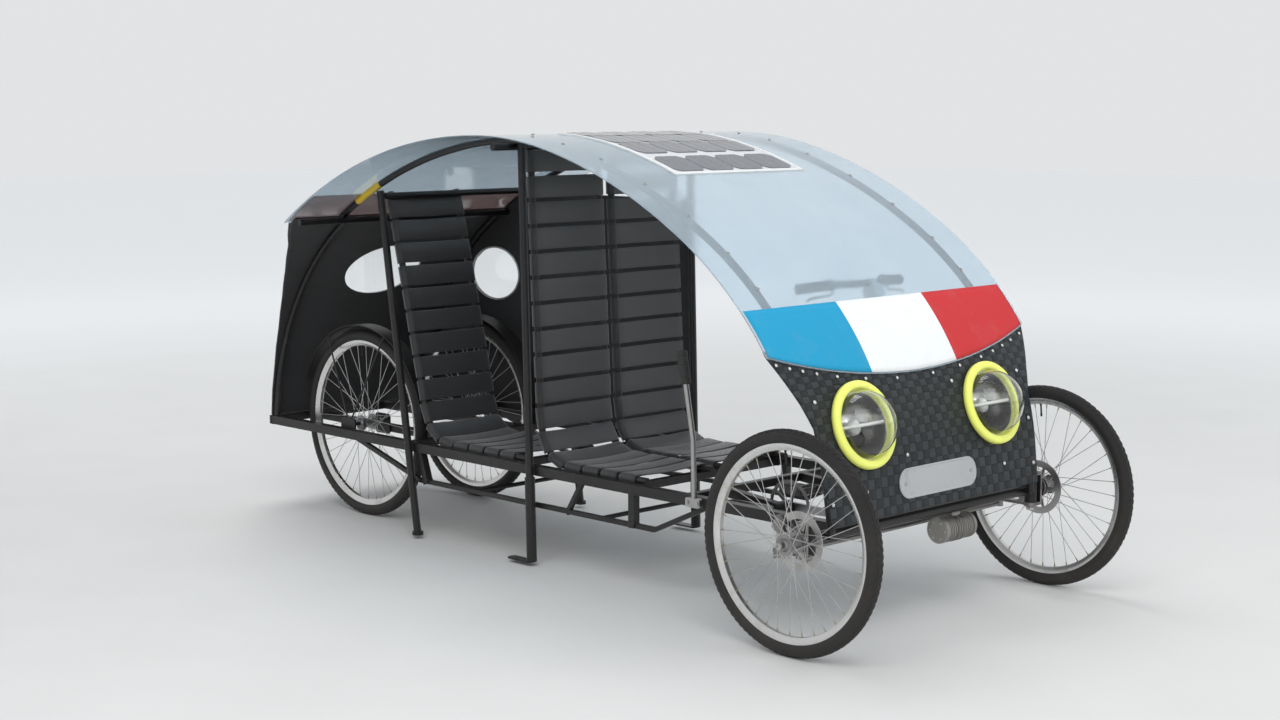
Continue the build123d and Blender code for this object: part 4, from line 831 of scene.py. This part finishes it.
# Solar panel: sixteen dark cells with clipped corners on a white backing, in a white edge strip on the roof.
# White diamonds show where four corners meet, and thin silver lines run down every cell.
panel_lift = 0.0042
cell_rows = 4
cell_pitch = 0.1285
cell_half = 0.0625
cell_clip = 0.020
wire_lift = 0.0007
white_strip = weathered("white_strip", (0.74, 0.75, 0.75), (0.45, 0.44, 0.42), 0.4, 0.6, scuffs=0.4, dust=0.0)
clad(white_strip, "solar_frame")
backing = weathered("white_backing", (0.66, 0.68, 0.70), (0.5, 0.5, 0.5), 0.25, 0.4, scuffs=0.2, dust=0.0,
                    Coat_Weight=1.0, Coat_Roughness=0.05)
clad(backing, "solar_cells")
cell_glass, shader, place = textured("cell_silicon", Coat_Weight=1.0, Coat_Roughness=0.04, Metallic=0.3)
crystal = noise(place, 30.0, 4.0)
feed(shader, Base_Color=mixed(crystal, (0.010, 0.018, 0.038), (0.030, 0.045, 0.080)),
     Roughness=ranged(crystal, low=0.25, high=0.45))
a, b = cell_half, cell_half - cell_clip
outline = [(a, -b), (a, b), (b, a), (-b, a), (-a, b), (-a, -b), (-b, -a), (b, -a)]
cell = pointed("cell", [(x, y, z) for z in (0.0, 0.0006) for x, y in outline], (),
               [tuple(range(7, -1, -1)), tuple(range(8, 16))]
               + [(k, (k + 1) % 8, (k + 1) % 8 + 8, k + 8) for k in range(8)])
solar_slopes = (1.5, 21.5)
spots, lines = [], []
for row in range(cell_rows):
    slope = solar_slopes[0] + (solar_slopes[1] - solar_slopes[0]) * (row + 0.5) / cell_rows
    for k in range(cell_rows):
        at, facing = roof_spot(1, (k - (cell_rows - 1) / 2) * cell_pitch, -panel_lift + 0.0010, slope)
        down_way = Vector((facing[2], 0, -facing[0]))
        spots.append((at, facing, down_way))
        for shift in (-0.021, 0.021):
            wire = Vector(at) + Vector(facing) * wire_lift + Vector((0, shift, 0))
            lines.append([wire + down_way * reach for reach in (-cell_half, cell_half)])
cells = planted("solar_cell_faces", cell, spots, cell_glass, "frame", (0.98, 1, 1), smooth=False)
laced("cell_busbars", lines, 0.0007, 4, spoke_steel, "frame")

# Nose panel: black straps woven over and under on a curved former, riveted to the end posts behind.
# A map counts the straps both ways; at each crossing the strap on top bows up, with painted dark shade in the gaps
# beside it.
strap_pitch = 0.0275
panel_inset = 0.0032
nose_foot_z = 0.331
nose_sides = ((0.566, 0.778), (0.540, 0.726), (0.505, 0.655), (0.480, 0.590), (0.466, nose_foot_z))
lamp_place = 0.288
lamp_slope = 72.0
lamp_radius = 0.121
lamp_hole = 0.0925


def half_width_at(height):
    """Half width of the nose panel at a height."""
    for (w1, z1), (w2, z2) in zip(nose_sides, nose_sides[1:]):
        if height >= z2:
            return w2 + (w1 - w2) * min(1.0, (height - z2) / (z1 - z2))
    return nose_sides[-1][0]


columns, down_steps = 180, 100
nose = bmesh.new()
strap_map = nose.loops.layers.uv.new("straps")
strap_count = {}
nose_rows = []
lamp_x, lamp_z = roof_point(1, panel_inset, lamp_slope)
for row in range(down_steps + 1):
    line = []
    for column in range(columns + 1):
        share = column / columns * 2 - 1
        top_z = smile_height(share * nose_sides[0][0], edge_lowest + 0.022) - 0.003 * abs(share)
        height = top_z + (nose_foot_z - top_z) * row / down_steps
        y = share * half_width_at(height)
        slope = slope_at_height(1, height)
        x, z = roof_point(1, panel_inset, slope)
        vert = nose.verts.new((x, y, z))
        strap_count[vert] = (y / strap_pitch + 60.0, (height / sin(radians(min(slope, steepest)))) / strap_pitch)
        line.append(vert)
    nose_rows.append(line)
lamp_spots = [Vector((lamp_x, side * lamp_place, lamp_z)) for side in (1, -1)]
for a, b in zip(nose_rows, nose_rows[1:]):
    for k in range(columns):
        around = a[k], b[k], b[k + 1], a[k + 1]
        middle = sum((vert.co for vert in around), Vector()) / 4
        if min((middle - spot).length for spot in lamp_spots) > lamp_hole:
            for loop in nose.faces.new(around).loops:
                loop[strap_map].uv = strap_count[loop.vert]
bmesh.ops.delete(nose, geom=[v for v in nose.verts if not v.link_faces], context="VERTS")
lamp_way = Vector((sin(radians(lamp_slope)), 0, cos(radians(lamp_slope))))
for vert in nose.verts:
    away = vert.co - lamp_spots[0 if vert.co.y > 0 else 1]
    away -= lamp_way * away.dot(lamp_way)
    if vert.is_boundary and away.length < lamp_radius:
        vert.co += away * (lamp_hole / away.length - 1)

weave, given, put = shader_group(
    "weave",
    {"Lit Warp Color": (0.02, 0.02, 0.02, 1), "Shaded Weft Color": (0.01, 0.01, 0.01, 1), "Painted Gap Shade": (0.001, 0.001, 0.001, 1)},
    {"Color": "Color", "Height": "Float", "Top": "Float"})
count = node(weave, "ShaderNodeSeparateXYZ", {0: node(weave, "ShaderNodeUVMap", uv_map="straps").outputs[0]}).outputs
whole_x, whole_y = (calc("FLOOR", count[axis]) for axis in "XY")
off_x, off_y = (ranged(calc("FRACT", count[axis]), low=-1.0, high=1.0) for axis in "XY")
top_way = calc("FLOORED_MODULO", calc("ADD", whole_x, whole_y), 2.0)
beside = mixed(top_way, off_x, off_y, "FLOAT")
lengthways = mixed(top_way, off_y, off_x, "FLOAT")
bow = calc("COSINE", calc("MULTIPLY", lengthways, pi / 2))
gap = ranged(calc("ABSOLUTE", beside), 0.80, 0.97, interpolation_type="SMOOTHSTEP")
raised = calc("MULTIPLY", calc("MULTIPLY_ADD", bow, 0.7, 0.3), calc("SUBTRACT", 1.0, gap))
thread = calc("SINE", calc("MULTIPLY", beside, 44.0))
# Warp and weft are one black strap; the warp is painted lighter as painted sheen, the weft darker as painted shade.
lit_and_shaded_strap_tone = mixed(top_way, given["Lit Warp Color"], given["Shaded Weft Color"])
# The gaps beside each strap are coloured near black: painted shade.
feed(put, Color=mixed(gap, lit_and_shaded_strap_tone, given["Painted Gap Shade"]),
     Height=calc("MULTIPLY_ADD", thread, 0.05, raised), Top=top_way)

strap_black, shader, place = textured("woven_strap", Specular_IOR_Level=0.45)
crossing = node(place, "ShaderNodeGroup", node_tree=weave)
# The lighter warp colour is painted sheen and the darker weft painted shade; both ways are the same black strap.
crossing.inputs["Lit Warp Color"].default_value = (0.020, 0.026, 0.031, 1)
crossing.inputs["Shaded Weft Color"].default_value = (0.007, 0.010, 0.013, 1)
dirt_share = ranged(noise(place, 9.0, 6.0, 0.7), 0.45, 0.8, high=0.18)
feed(shader, Base_Color=mixed(dirt_share, crossing.outputs["Color"], (0.07, 0.065, 0.06)),
     Roughness=ranged(crossing.outputs["Top"], low=0.36, high=0.52),
     Normal=bumped(crossing.outputs["Height"], 0.0025, 0.9))
nose_mesh = walled(taken(nose, "nose_sheet"), 0.0045, "woven_nose")
woven_nose = mesh_object("woven_nose", nose_mesh, strap_black, "frame")
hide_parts("nose_panel")

# Nose fixings: white snap heads along the lapped top edge, and a few more down the end posts.
# They sit on the weave, or on the sheet where it laps over it.
snap_white = weathered("snap_white", (0.70, 0.70, 0.68), (0.4, 0.38, 0.35), 0.4, 0.6, scuffs=0.4, dust=0.2)
snap_head = turned([(0, 0.0), (0, 1.0), (0.35, 0.95), (0.75, 0.62), (1.0, 0.0)], 12, "snap_head", False)
small_snap, snap = (0.0048, 0.0048, 0.0032), (0.0055, 0.0055, 0.0036)
snap_places = [(y, smile_height(y, edge_lowest) - 0.012, small_snap) for y in (
    -0.545, -0.500, -0.455, -0.405, -0.33, -0.22, -0.09, 0.07, 0.20, 0.31, 0.375, 0.43, 0.48, 0.535)]
snap_places += [(y, height, snap) for y, height in (
    (-0.452, 0.655), (-0.452, 0.52), (0.452, 0.655), (0.452, 0.52), (0.452, 0.39), (-0.452, 0.39), (0.139, 0.655),
    (-0.125, 0.482), (-0.31, 0.405), (0.31, 0.405))]
spots = [(*roof_spot(1, y, panel_inset - 0.0012, slope_at_height(1, height)), (0, 1, 0), size)
         for y, height, size in snap_places]
planted("nose_snaps", snap_head, spots, snap_white, "frame")

# Plate: a blank sheet-metal plate with rounded ends and a raised lip, greyed and scuffed all over.
# It lies flat on the steep foot of the weave, and two screws hold it there.
plate_half = (0.1725, 0.0415)
plate_corner = 0.039
plate_z = 0.405
foot_x, foot_z = roof_point(1, panel_inset, steepest)
nose_lean = radians(steepest)
plate_middle = Vector((foot_x + (foot_z - plate_z) / tan(nose_lean), 0, plate_z))
out = Vector((sin(nose_lean), 0, cos(nose_lean)))
down = Vector((cos(nose_lean), 0, -sin(nose_lean)))
plate = bmesh.new()
rings = []
for inset, lift in (
        (0.0, 0.0004), (0.0, 0.0030), (0.0018, 0.0038), (0.0042, 0.0038), (0.0060, 0.0026), (0.012, 0.0026)):
    ring = []
    for sign_y, sign_z, start in ((1, 1, 0), (-1, 1, 90), (-1, -1, 180), (1, -1, 270)):
        for turn in even(radians(start), radians(start + 90), 12):
            corner = plate_corner - inset
            y = sign_y * (plate_half[0] - plate_corner) + corner * cos(turn)
            up_by = sign_z * (plate_half[1] - plate_corner) + corner * sin(turn)
            ring.append(plate.verts.new(plate_middle + out * lift + Vector((0, y, 0)) - down * up_by))
    rings.append(ring)
for a, b in zip(rings, rings[1:]):
    for k in range(len(a)):
        plate.faces.new((a[k], a[(k + 1) % len(a)], b[(k + 1) % len(b)], b[k]))
plate.faces.new(rings[-1])
plate.faces.new(rings[0][::-1])
bmesh.ops.recalc_face_normals(plate, faces=plate.faces)
plate_grey = weathered("plate_grey", (0.50, 0.51, 0.52), (0.25, 0.24, 0.23), 0.35, 0.6, scuff_scale=55.0, scuffs=0.6,
                       grain_scale=300.0, dust=0.3, Metallic=0.4)
nose_plate = mesh_object("blank_plate", taken(plate, "plate"), plate_grey, "frame", sharp=30)
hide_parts("nose_plate")
spots = [(plate_middle + Vector((0, side * 0.146, 0)) + out * 0.0026, out) for side in (1, -1)]
planted("plate_screws", dome_nut, spots, zinc, "frame", (0.0052, 0.0052, 0.0026))

# Lamps: a spun bright bowl, a bulb on a cross bar, a thick fluorescent ring, and a clear blown dome over all.
# The ring is painted foam, slightly rough, with a faint painted glow; the dome's foot has a pale bead where it is
# cemented in.
# The ring's yellow has a weak emission: a painted glow, not a lamp.
lamp_yellow = weathered("fluorescent_yellow_painted_glow", (0.83, 0.87, 0.18), (0.60, 0.61, 0.20), 0.45, 0.65, scuff_scale=30.0,
                        scuffs=0.35, grain_scale=400.0, dust=0.05, grain_depth=0.0004,
                        Emission_Color=(0.78, 0.85, 0.16, 1), Emission_Strength=0.12)
bowl_bright, shader, place = textured("spun_reflector", Metallic=1.0)
# The bowl's colour is a painted reflection by height: dark low down, a bright band across the middle, grey above.
mirrored = node(place, "ShaderNodeValToRGB", {0: ranged(upright(place), lamp_z - 0.05, lamp_z + 0.07)})
mirrored.color_ramp.elements[0].color = (0.035, 0.033, 0.030, 1)
mirrored.color_ramp.elements[1].color = (0.50, 0.51, 0.52, 1)
for place_up, level in ((0.33, 0.06), (0.40, 0.97), (0.53, 0.95), (0.62, 0.34)):
    mirrored.color_ramp.elements.new(place_up).color = (level, level, level * 0.98, 1)
spun = noise(place, 24.0, 5.0)
mottled = ranged(spun, 0.3, 0.7, 0.72)
painted_reflection_tone = node(place, "ShaderNodeVectorMath", {0: mirrored.outputs["Color"], "Scale": mottled}, operation="SCALE")
feed(shader, Base_Color=painted_reflection_tone.outputs[0], Roughness=ranged(spun, low=0.16, high=0.34))
dome_clear, shader, place = textured("clear_dome", IOR=1.45, Transmission_Weight=1.0)
smear = noise(place, 14.0, 6.0)
feed(shader, Roughness=ranged(smear, 0.4, 0.75, 0.0, 0.10),
     Base_Color=mixed(smear, (0.97, 0.98, 0.98), (0.90, 0.92, 0.92)))
bulb_white = weathered("bulb_white", (0.80, 0.80, 0.78), (0.5, 0.5, 0.48), 0.25, 0.5, dust=0.0, Coat_Weight=0.5)
bowl_profile = [(-0.070, 0.0), (-0.0700, 0.033), (-0.062, 0.0545), (-0.045, 0.0733), (-0.018, 0.0900), (0.0034, 0.0905),
                (0.0034, 0.0882), (-0.018, 0.0877), (-0.044, 0.0709), (-0.0605, 0.0525), (-0.0675, 0.031),
                (-0.0675, 0.0)]
bulb_profile = [(-0.0672, 0.0), (-0.0672, 0.020), (-0.058, 0.020), (-0.056, 0.013), (-0.050, 0.013), (-0.044, 0.019),
                (-0.034, 0.023), (-0.024, 0.021), (-0.017, 0.013), (-0.0145, 0.0)]
ring_profile = [(0.0005, 0.0905), (0.0005, lamp_radius)]
ring_profile += arc(0.0085, lamp_radius - 0.010, 0.010, range(0, 91, 15))
ring_profile += arc(0.0105, lamp_radius - 0.016, 0.008, range(90, 181, 15))
ring_profile += [(0.0040, lamp_radius - 0.0245), (0.0030, lamp_radius - 0.026), (0.0030, 0.0905)]
dome_foot, dome_r, dome_h, dome_wall = 0.0030, 0.0938, 0.0925, 0.0022
dome_profile = arc(dome_foot, 0.0, dome_h, range(0, 91, 5), dome_r)
dome_profile += arc(dome_foot, 0.0, dome_h - dome_wall, range(90, -1, -5), dome_r - dome_wall)
bead_profile = arc(0.0046, 0.0936, 0.0020, range(0, 360, 30), 0.0018)
for side, word in ((1, "left"), (-1, "right")):
    seat = Matrix.Translation((lamp_x, side * lamp_place, lamp_z)) @ Matrix.Rotation(radians(lamp_slope), 4, "Y")
    bowl = turned(bowl_profile, 72, closed=False, seat=seat)
    bowl_piece = mesh_object(f"lamp_bowl_{word}", bowl, bowl_bright, "frame", sharp=50)
    bulb = turned(bulb_profile, 32, closed=False, seat=seat)
    mesh_object(f"lamp_bulb_{word}", bulb, bulb_white, "frame")
    bar_ends = [seat @ Vector((0, reach, -0.0045)) for reach in (-0.0882, -0.03, 0.03, 0.0882)]
    laced(f"lamp_bar_{word}", [bar_ends], 0.0055, 12, bulb_white, "frame")
    ring_piece = mesh_object(f"lamp_ring_{word}", turned(ring_profile, 96, seat=seat), lamp_yellow, "frame")
    dome = mesh_object(f"lamp_dome_{word}", turned(dome_profile, 72, seat=seat), dome_clear, "frame")
    mesh_object(f"lamp_bead_{word}", turned(bead_profile, 72, seat=seat), bulb_white, "frame")
    if side == 1:
        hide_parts("lamp_bowls")
        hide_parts("lamp_rings")
        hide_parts("lamp_domes")

# Tail and quarter panels: black coated cloth stretched on the tubes and snapped to them, with piped edges.
# Oval windows are cut in and rimmed with a pale bead; the panes are clear film.
panel_cloth, shader, place = textured("coated_cloth", Sheen_Weight=0.15)
folds_and_painted_shade = noise(place, 3.5, 3.0, Distortion=0.8)
weft, warp = (node(place, "ShaderNodeTexWave", {"Vector": place, "Scale": 260.0}, bands_direction=way).outputs["Fac"]
              for way in ("Z", "DIAGONAL"))
cloth_bump = bumped(calc("MULTIPLY", weft, warp), 0.0002, 0.5)
# The cloth is darker in the low parts of its folds and lighter on their crests: painted shade, from the same noise as
# the fold bump.
feed(shader, Base_Color=mixed(folds_and_painted_shade, (0.008, 0.008, 0.009), (0.026, 0.026, 0.028)),
     Roughness=ranged(folds_and_painted_shade, low=0.45, high=0.7), Normal=bumped(folds_and_painted_shade, 0.02, 0.35, Normal=cloth_bump))
clad(panel_cloth, "tail_panel", "quarter_panel_left")
clad(dome_clear, "rear_panes")
bead_white = weathered("window_bead", (0.55, 0.56, 0.55), (0.3, 0.3, 0.28), 0.4, 0.6, scuffs=0.4, dust=0.0)
tail_window, quarter_window = (0.0, 0.835, 0.165, 0.092), (-1.058, 0.812, 0.130, 0.095)
rim_line = []
for y, z in oval(*tail_window, 64, True):
    x, _ = roof_point(-1, panel_inset, slope_at_height(-1, z))
    rim_line.append((x - 0.001, y, z))
laced("tail_window_bead", [rim_line], 0.0035, 8, bead_white, "frame")
quarter_y = 0.351
for step, word in ((0.003, "outer"), (-0.003, "inner")):
    window = [(x, quarter_y + step, z) for x, z in oval(*quarter_window, 64, True)]
    laced(f"quarter_window_bead_{word}", [window], 0.0033, 8, bead_white, "frame")
tail_sides = (
    # half width of the tail panel, height
    (0.545, 1.030), (0.512, 0.990), (0.478, 0.950), (0.454, 0.903), (0.430, 0.855), (0.412, 0.805), (0.395, 0.755),
    (0.382, 0.698), (0.370, 0.640), (0.363, 0.570), (0.356, 0.500), (0.354, 0.410), (0.352, 0.320),
)
piping = [[(roof_point(-1, panel_inset + 0.0025, slope_at_height(-1, z))[0], side * w, z) for w, z in tail_sides]
          for side in (1, -1)]
quarter_edge = [(x, quarter_y, z) for x, z in (roof_point(-1, 0.0263, slope) for slope in even(30.9, 22.9, 16))]
quarter_top_z, quarter_foot_z = 1.112, 0.317
quarter_edge += [(quarter_edge[-1][0], quarter_y, quarter_top_z), (-0.0856, quarter_y, quarter_top_z),
                 (-0.0637, quarter_y, quarter_foot_z)]
laced("tail_piping", [*piping, quarter_edge], 0.0035, 8, panel_cloth, "frame")
spots = [roof_spot(-1, y, panel_inset, sheet_rear_slope + 0.8)
         for y in (-0.50, -0.43, -0.35, -0.20, 0.0, 0.20, 0.35, 0.43, 0.50)]
planted("tail_snaps", snap_head, spots, snap_white, "frame", (0.0055, 0.0055, 0.0035))

# Tail reflectors: two small red prisms riveted to the upper corners of the tail panel.
# Their faces are moulded in fine cells under a clear skin.
reflector_red, shader, place = textured("reflector_red", Roughness=0.15, Coat_Weight=1.0)
prisms = node(place, "ShaderNodeTexVoronoi", {"Vector": place, "Scale": 260.0}).outputs["Distance"]
feed(shader, Base_Color=mixed(prisms, (0.55, 0.010, 0.008), (0.22, 0.004, 0.004)),
     Normal=bumped(prisms, 0.001, 0.6))
spots = [roof_spot(-1, side * 0.478, panel_inset, slope_at_height(-1, 0.998)) for side in (1, -1)]
reflector = turned([(0, 0), (0, 1), (0.7, 1), (1.0, 0.85), (1.0, 0)], 24, "reflector", False)
planted("tail_reflectors", reflector, spots, reflector_red, "frame", (0.016, 0.016, 0.006))

# Seats: side tubes bent to an L, with wide black webbing straps pulled round both tubes and fixed below.
# The straps follow the tube's line at even steps and sag a little between the tubes.
strapping, given, put = geometry_tree("strapping", Strap="Object", Bend="Float", Pitch="Float", Finish="Material")
line = node(strapping, "GeometryNodeMeshToCurve", {"Mesh": given["Geometry"]}).outputs[0]
bent = node(strapping, "GeometryNodeFilletCurve", {"Curve": line, "Radius": given["Bend"], "Count": 16,
                                                   "Limit Radius": True}, mode="POLY").outputs[0]
paced = {"Curve": bent, "Length": given["Pitch"]}
stepped = node(strapping, "GeometryNodeResampleCurve", paced, mode="LENGTH").outputs[0]
along = node(strapping, "GeometryNodeInputTangent").outputs[0]
sideways = node(strapping, "FunctionNodeInputVector", vector=(0, 1, 0)).outputs[0]
over = node(strapping, "ShaderNodeVectorMath", {0: along, 1: sideways}, operation="CROSS_PRODUCT").outputs[0]
turn = node(strapping, "FunctionNodeAxesToRotation", {0: over, 1: along}).outputs[0]
strap_in = node(strapping, "GeometryNodeObjectInfo", {"Object": given["Strap"]}).outputs["Geometry"]
straps = node(strapping, "GeometryNodeInstanceOnPoints", {"Points": stepped, "Instance": strap_in, "Rotation": turn})
finished(strapping, given, put, straps.outputs[0])

webbing, shader, place = textured("seat_webbing", Sheen_Weight=0.3)
ribs = node(place, "ShaderNodeTexWave", {"Vector": place, "Scale": 190.0, "Distortion": 0.4, "Detail": 1.0},
            bands_direction="Y").outputs["Fac"]
wearing = noise(place, 14.0, 6.0, 0.7)
feed(shader, Base_Color=mixed(wearing, (0.008, 0.008, 0.009), (0.024, 0.024, 0.025)),
     Roughness=ranged(wearing, low=0.27, high=0.45), Normal=bumped(ribs, 0.0004, 0.5))

strap_half = 0.0325
strap_sag = 0.006
wrap_r = 0.0132
tube_z = 0.320
tube_bend_r = 0.130


def strap_mesh(near_y, far_y):
    """One strap across two tubes that lie at near_y and far_y, its middle at the origin of the tube line."""
    middle, reach = (near_y + far_y) / 2, abs(far_y - near_y) / 2
    section = arc(-reach, 0.0, wrap_r, range(-150, 1, 15))
    section += [(-reach + 2 * reach * k / 10, wrap_r - strap_sag * (1 - (k / 5 - 1) ** 2)) for k in range(1, 10)]
    section += arc(reach, 0.0, wrap_r, range(0, 151, 15))
    rows = []
    for x, drop in ((-1, 0.0008), (-0.93, 0), (0, 0), (0.93, 0), (1, 0.0008)):
        rows.append([(x * strap_half, middle + y, z - drop) for y, z in section])
    return sheet_mesh(rows, 0.003, "strap")


seats = (
    # name, pitch, side tubes' places, line of the tubes from the top down
    ("rear_seat_webbing", 0.072, ((-0.028, -0.308),),
     ((-0.8085, 1.0816), (-0.6204, tube_z), (-0.2222, tube_z))),
    ("front_seat_webbing", 0.075, ((-0.028, -0.308), (0.028, 0.308)),
     ((-0.1155, 1.2532), (-0.067, tube_z), (0.3228, tube_z))),
)
for name, pitch, tubes, line in seats:
    for near_y, far_y in tubes:
        tube_line = pointed(name + "_line", [(x, 0, z) for x, z in line], [(0, 1), (1, 2)])
        made = grown(name if near_y < 0 else name + "_left", tube_line, strapping, "frame",
                     Strap=strap_mesh(near_y, far_y), Bend=tube_bend_r, Pitch=pitch, Finish=webbing)
        if near_y < 0:
            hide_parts("rear_seat_slats" if name == "rear_seat_webbing" else "front_seat_slats")
clad(satin_black, "rear_seat_frame", "front_seat_frames")

# Mudguards: rolled black plastic over the rear wheels, dulled by grit, on thin wire stays.
# Guards and stays share one finish.
guard_plastic = weathered("guard_plastic", (0.008, 0.008, 0.009), (0.05, 0.048, 0.045), 0.38, 0.7, scuff_scale=50.0,
                          scuffs=0.4, dust=0.2, Specular_IOR_Level=0.4)
clad(guard_plastic, "rear_mudguards")

# Handlebar: bent tube on the column's clamp, with ribbed rubber grips, brake levers and their clamp rings.
# The column is bare steel; a strap with two screws holds the bar down on its block.
column_steel = weathered("column_steel", (0.42, 0.42, 0.41), (0.22, 0.20, 0.18), 0.30, 0.6, scuffs=0.5, dust=0.2,
                         Metallic=1.0)
clad(column_steel, "steering_column")
clad(satin_black, "handlebar")
grip_rubber = weathered("grip_rubber", (0.010, 0.010, 0.011), (0.04, 0.038, 0.036), 0.6, 0.8, scuff_scale=120.0,
                        grain_scale=900.0)
column_lean = radians(21.0)
up_column = Vector((-sin(column_lean), 0, cos(column_lean)))
back_way = Vector((-cos(column_lean), 0, -sin(column_lean)))
bar_middle = Vector((1.015, 0.200, 0.390)) + up_column * 0.5513


def bar_spot(sideways, backward, rise):
    """Place on the handlebar: sideways, back along its plane and up the column."""
    return bar_middle + Vector((0, sideways, 0)) + back_way * backward + up_column * rise


grip_profile = [(0.0, 0.0112), (0.0, 0.0160), (0.003, 0.0164), (0.006, 0.0150)]
grip_profile += ribbed(0.008, 0.0066, 14, ((0.0, 0.0142), (0.0012, 0.0154), (0.0042, 0.0154), (0.0054, 0.0142)))
grip_profile += [(0.103, 0.0150), (0.105, 0.0142), (0.105, 0.0112)]
clamp_profile = [(0, 0.0112), (0, 0.0165), (0.002, 0.0175), (0.010, 0.0175), (0.012, 0.0165), (0.012, 0.0112)]
lever_bends = ((0.014, 0.0), (0.027, 0.004), (0.033, 0.020), (0.034, 0.055), (0.036, 0.090), (0.042, 0.104))
below = (-up_column * 0.97 - back_way * 0.25).normalized()
grip_spots, ring_spots, levers = [], [], []
for side in (1, -1):
    tip, root = bar_spot(side * 0.235, 0.080, 0.020), bar_spot(side * 0.110, 0.050, 0.016)
    inwards = (root - tip).normalized()
    grip_spots.append((tip, inwards, up_column))
    ring_spots.append((tip + inwards * 0.110, inwards, up_column))
    hinge_at = tip + inwards * 0.116
    levers.append([hinge_at + below * drop - inwards * reach for drop, reach in lever_bends])
grips = planted("ribbed_grips", turned(grip_profile, 32, "grip"), grip_spots, grip_rubber, "steering")
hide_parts("handlebar_grips")
planted("lever_clamps", turned(clamp_profile, 24, "clamp"), ring_spots, satin_black, "steering")
laced("brake_levers", levers, 0.0042, 10, column_steel, "steering")
strap_profile = [(-0.0215, -0.0105), (-0.0150, -0.0105), *arc(0.0, 0.0, 0.0113, range(-120, 121, 20)),
                 (0.0150, -0.0105), (0.0215, -0.0105)]
strap_rows = [[bar_spot(reach, b, h + 0.0012) for b, h in strap_profile] for reach in (-0.016, -0.0155, 0.0155, 0.016)]
mesh_object("bar_strap", sheet_mesh(strap_rows, -0.0024, "bar_strap"), column_steel, "steering")
spots = [(bar_spot(y, b, -0.0070), up_column) for y in (-0.010, 0.010) for b in (-0.0182, 0.0182)]
planted("bar_strap_screws", hex_nut, spots, zinc, "steering", (0.0036, 0.0036, 0.003), smooth=False)

# Side lever: a bright steel stem bolted to the right rail, with a ribbed black grip pushed on its end.
# The grip is the same rubber as on the handlebar.
clad(column_steel, "side_lever")
lever_way = Vector((-30.0, 0, 160.0)).normalized()
lever_top = (0.606, -0.3632, 0.640)
lever_foot_x, lever_plate_y = 0.640, -0.3714
lever_profile = [(-0.002, 0.0), (-0.002, 0.0085), (-0.002, 0.0150), (0.001, 0.0160), (0.005, 0.0160), (0.008, 0.0150)]
lever_profile += ribbed(0.010, 0.0084, 9, ((0.0, 0.0146), (0.0015, 0.0156), (0.0054, 0.0156), (0.0069, 0.0146)))
lever_profile += [(0.088, 0.0152), (0.092, 0.0145), (0.094, 0.010), (0.0945, 0.0)]
lever_grip = planted("side_lever_grip", turned(lever_profile, 32, "lever_grip", False),
                     [(lever_top, lever_way)], grip_rubber, "frame")
spots = [((lever_foot_x + shift, lever_plate_y, rail_z), (0, -1, 0)) for shift in (-0.019, 0.019)]
planted("side_lever_bolts", hex_nut, spots, zinc, "frame", (0.0055, 0.0055, 0.004), fore_way, smooth=False)

# Rib tape: yellow tape wound round the right-hand rear rib near its lower end, rubbed and faded.
# It follows the bend of the rib over a hand's width.
tape_yellow = weathered("tape_yellow", (0.62, 0.42, 0.02), (0.35, 0.26, 0.08), 0.35, 0.6, scuff_scale=45.0,
                        scuffs=0.5, dust=0.0)
tape_line = [(x, -rear_rib_y, z) for x, z in (roof_point(-1, 0.0143, slope) for slope in even(24.0, 28.5, 6))]
laced("rib_tape", [tape_line], 0.0118, 20, tape_yellow, "frame")
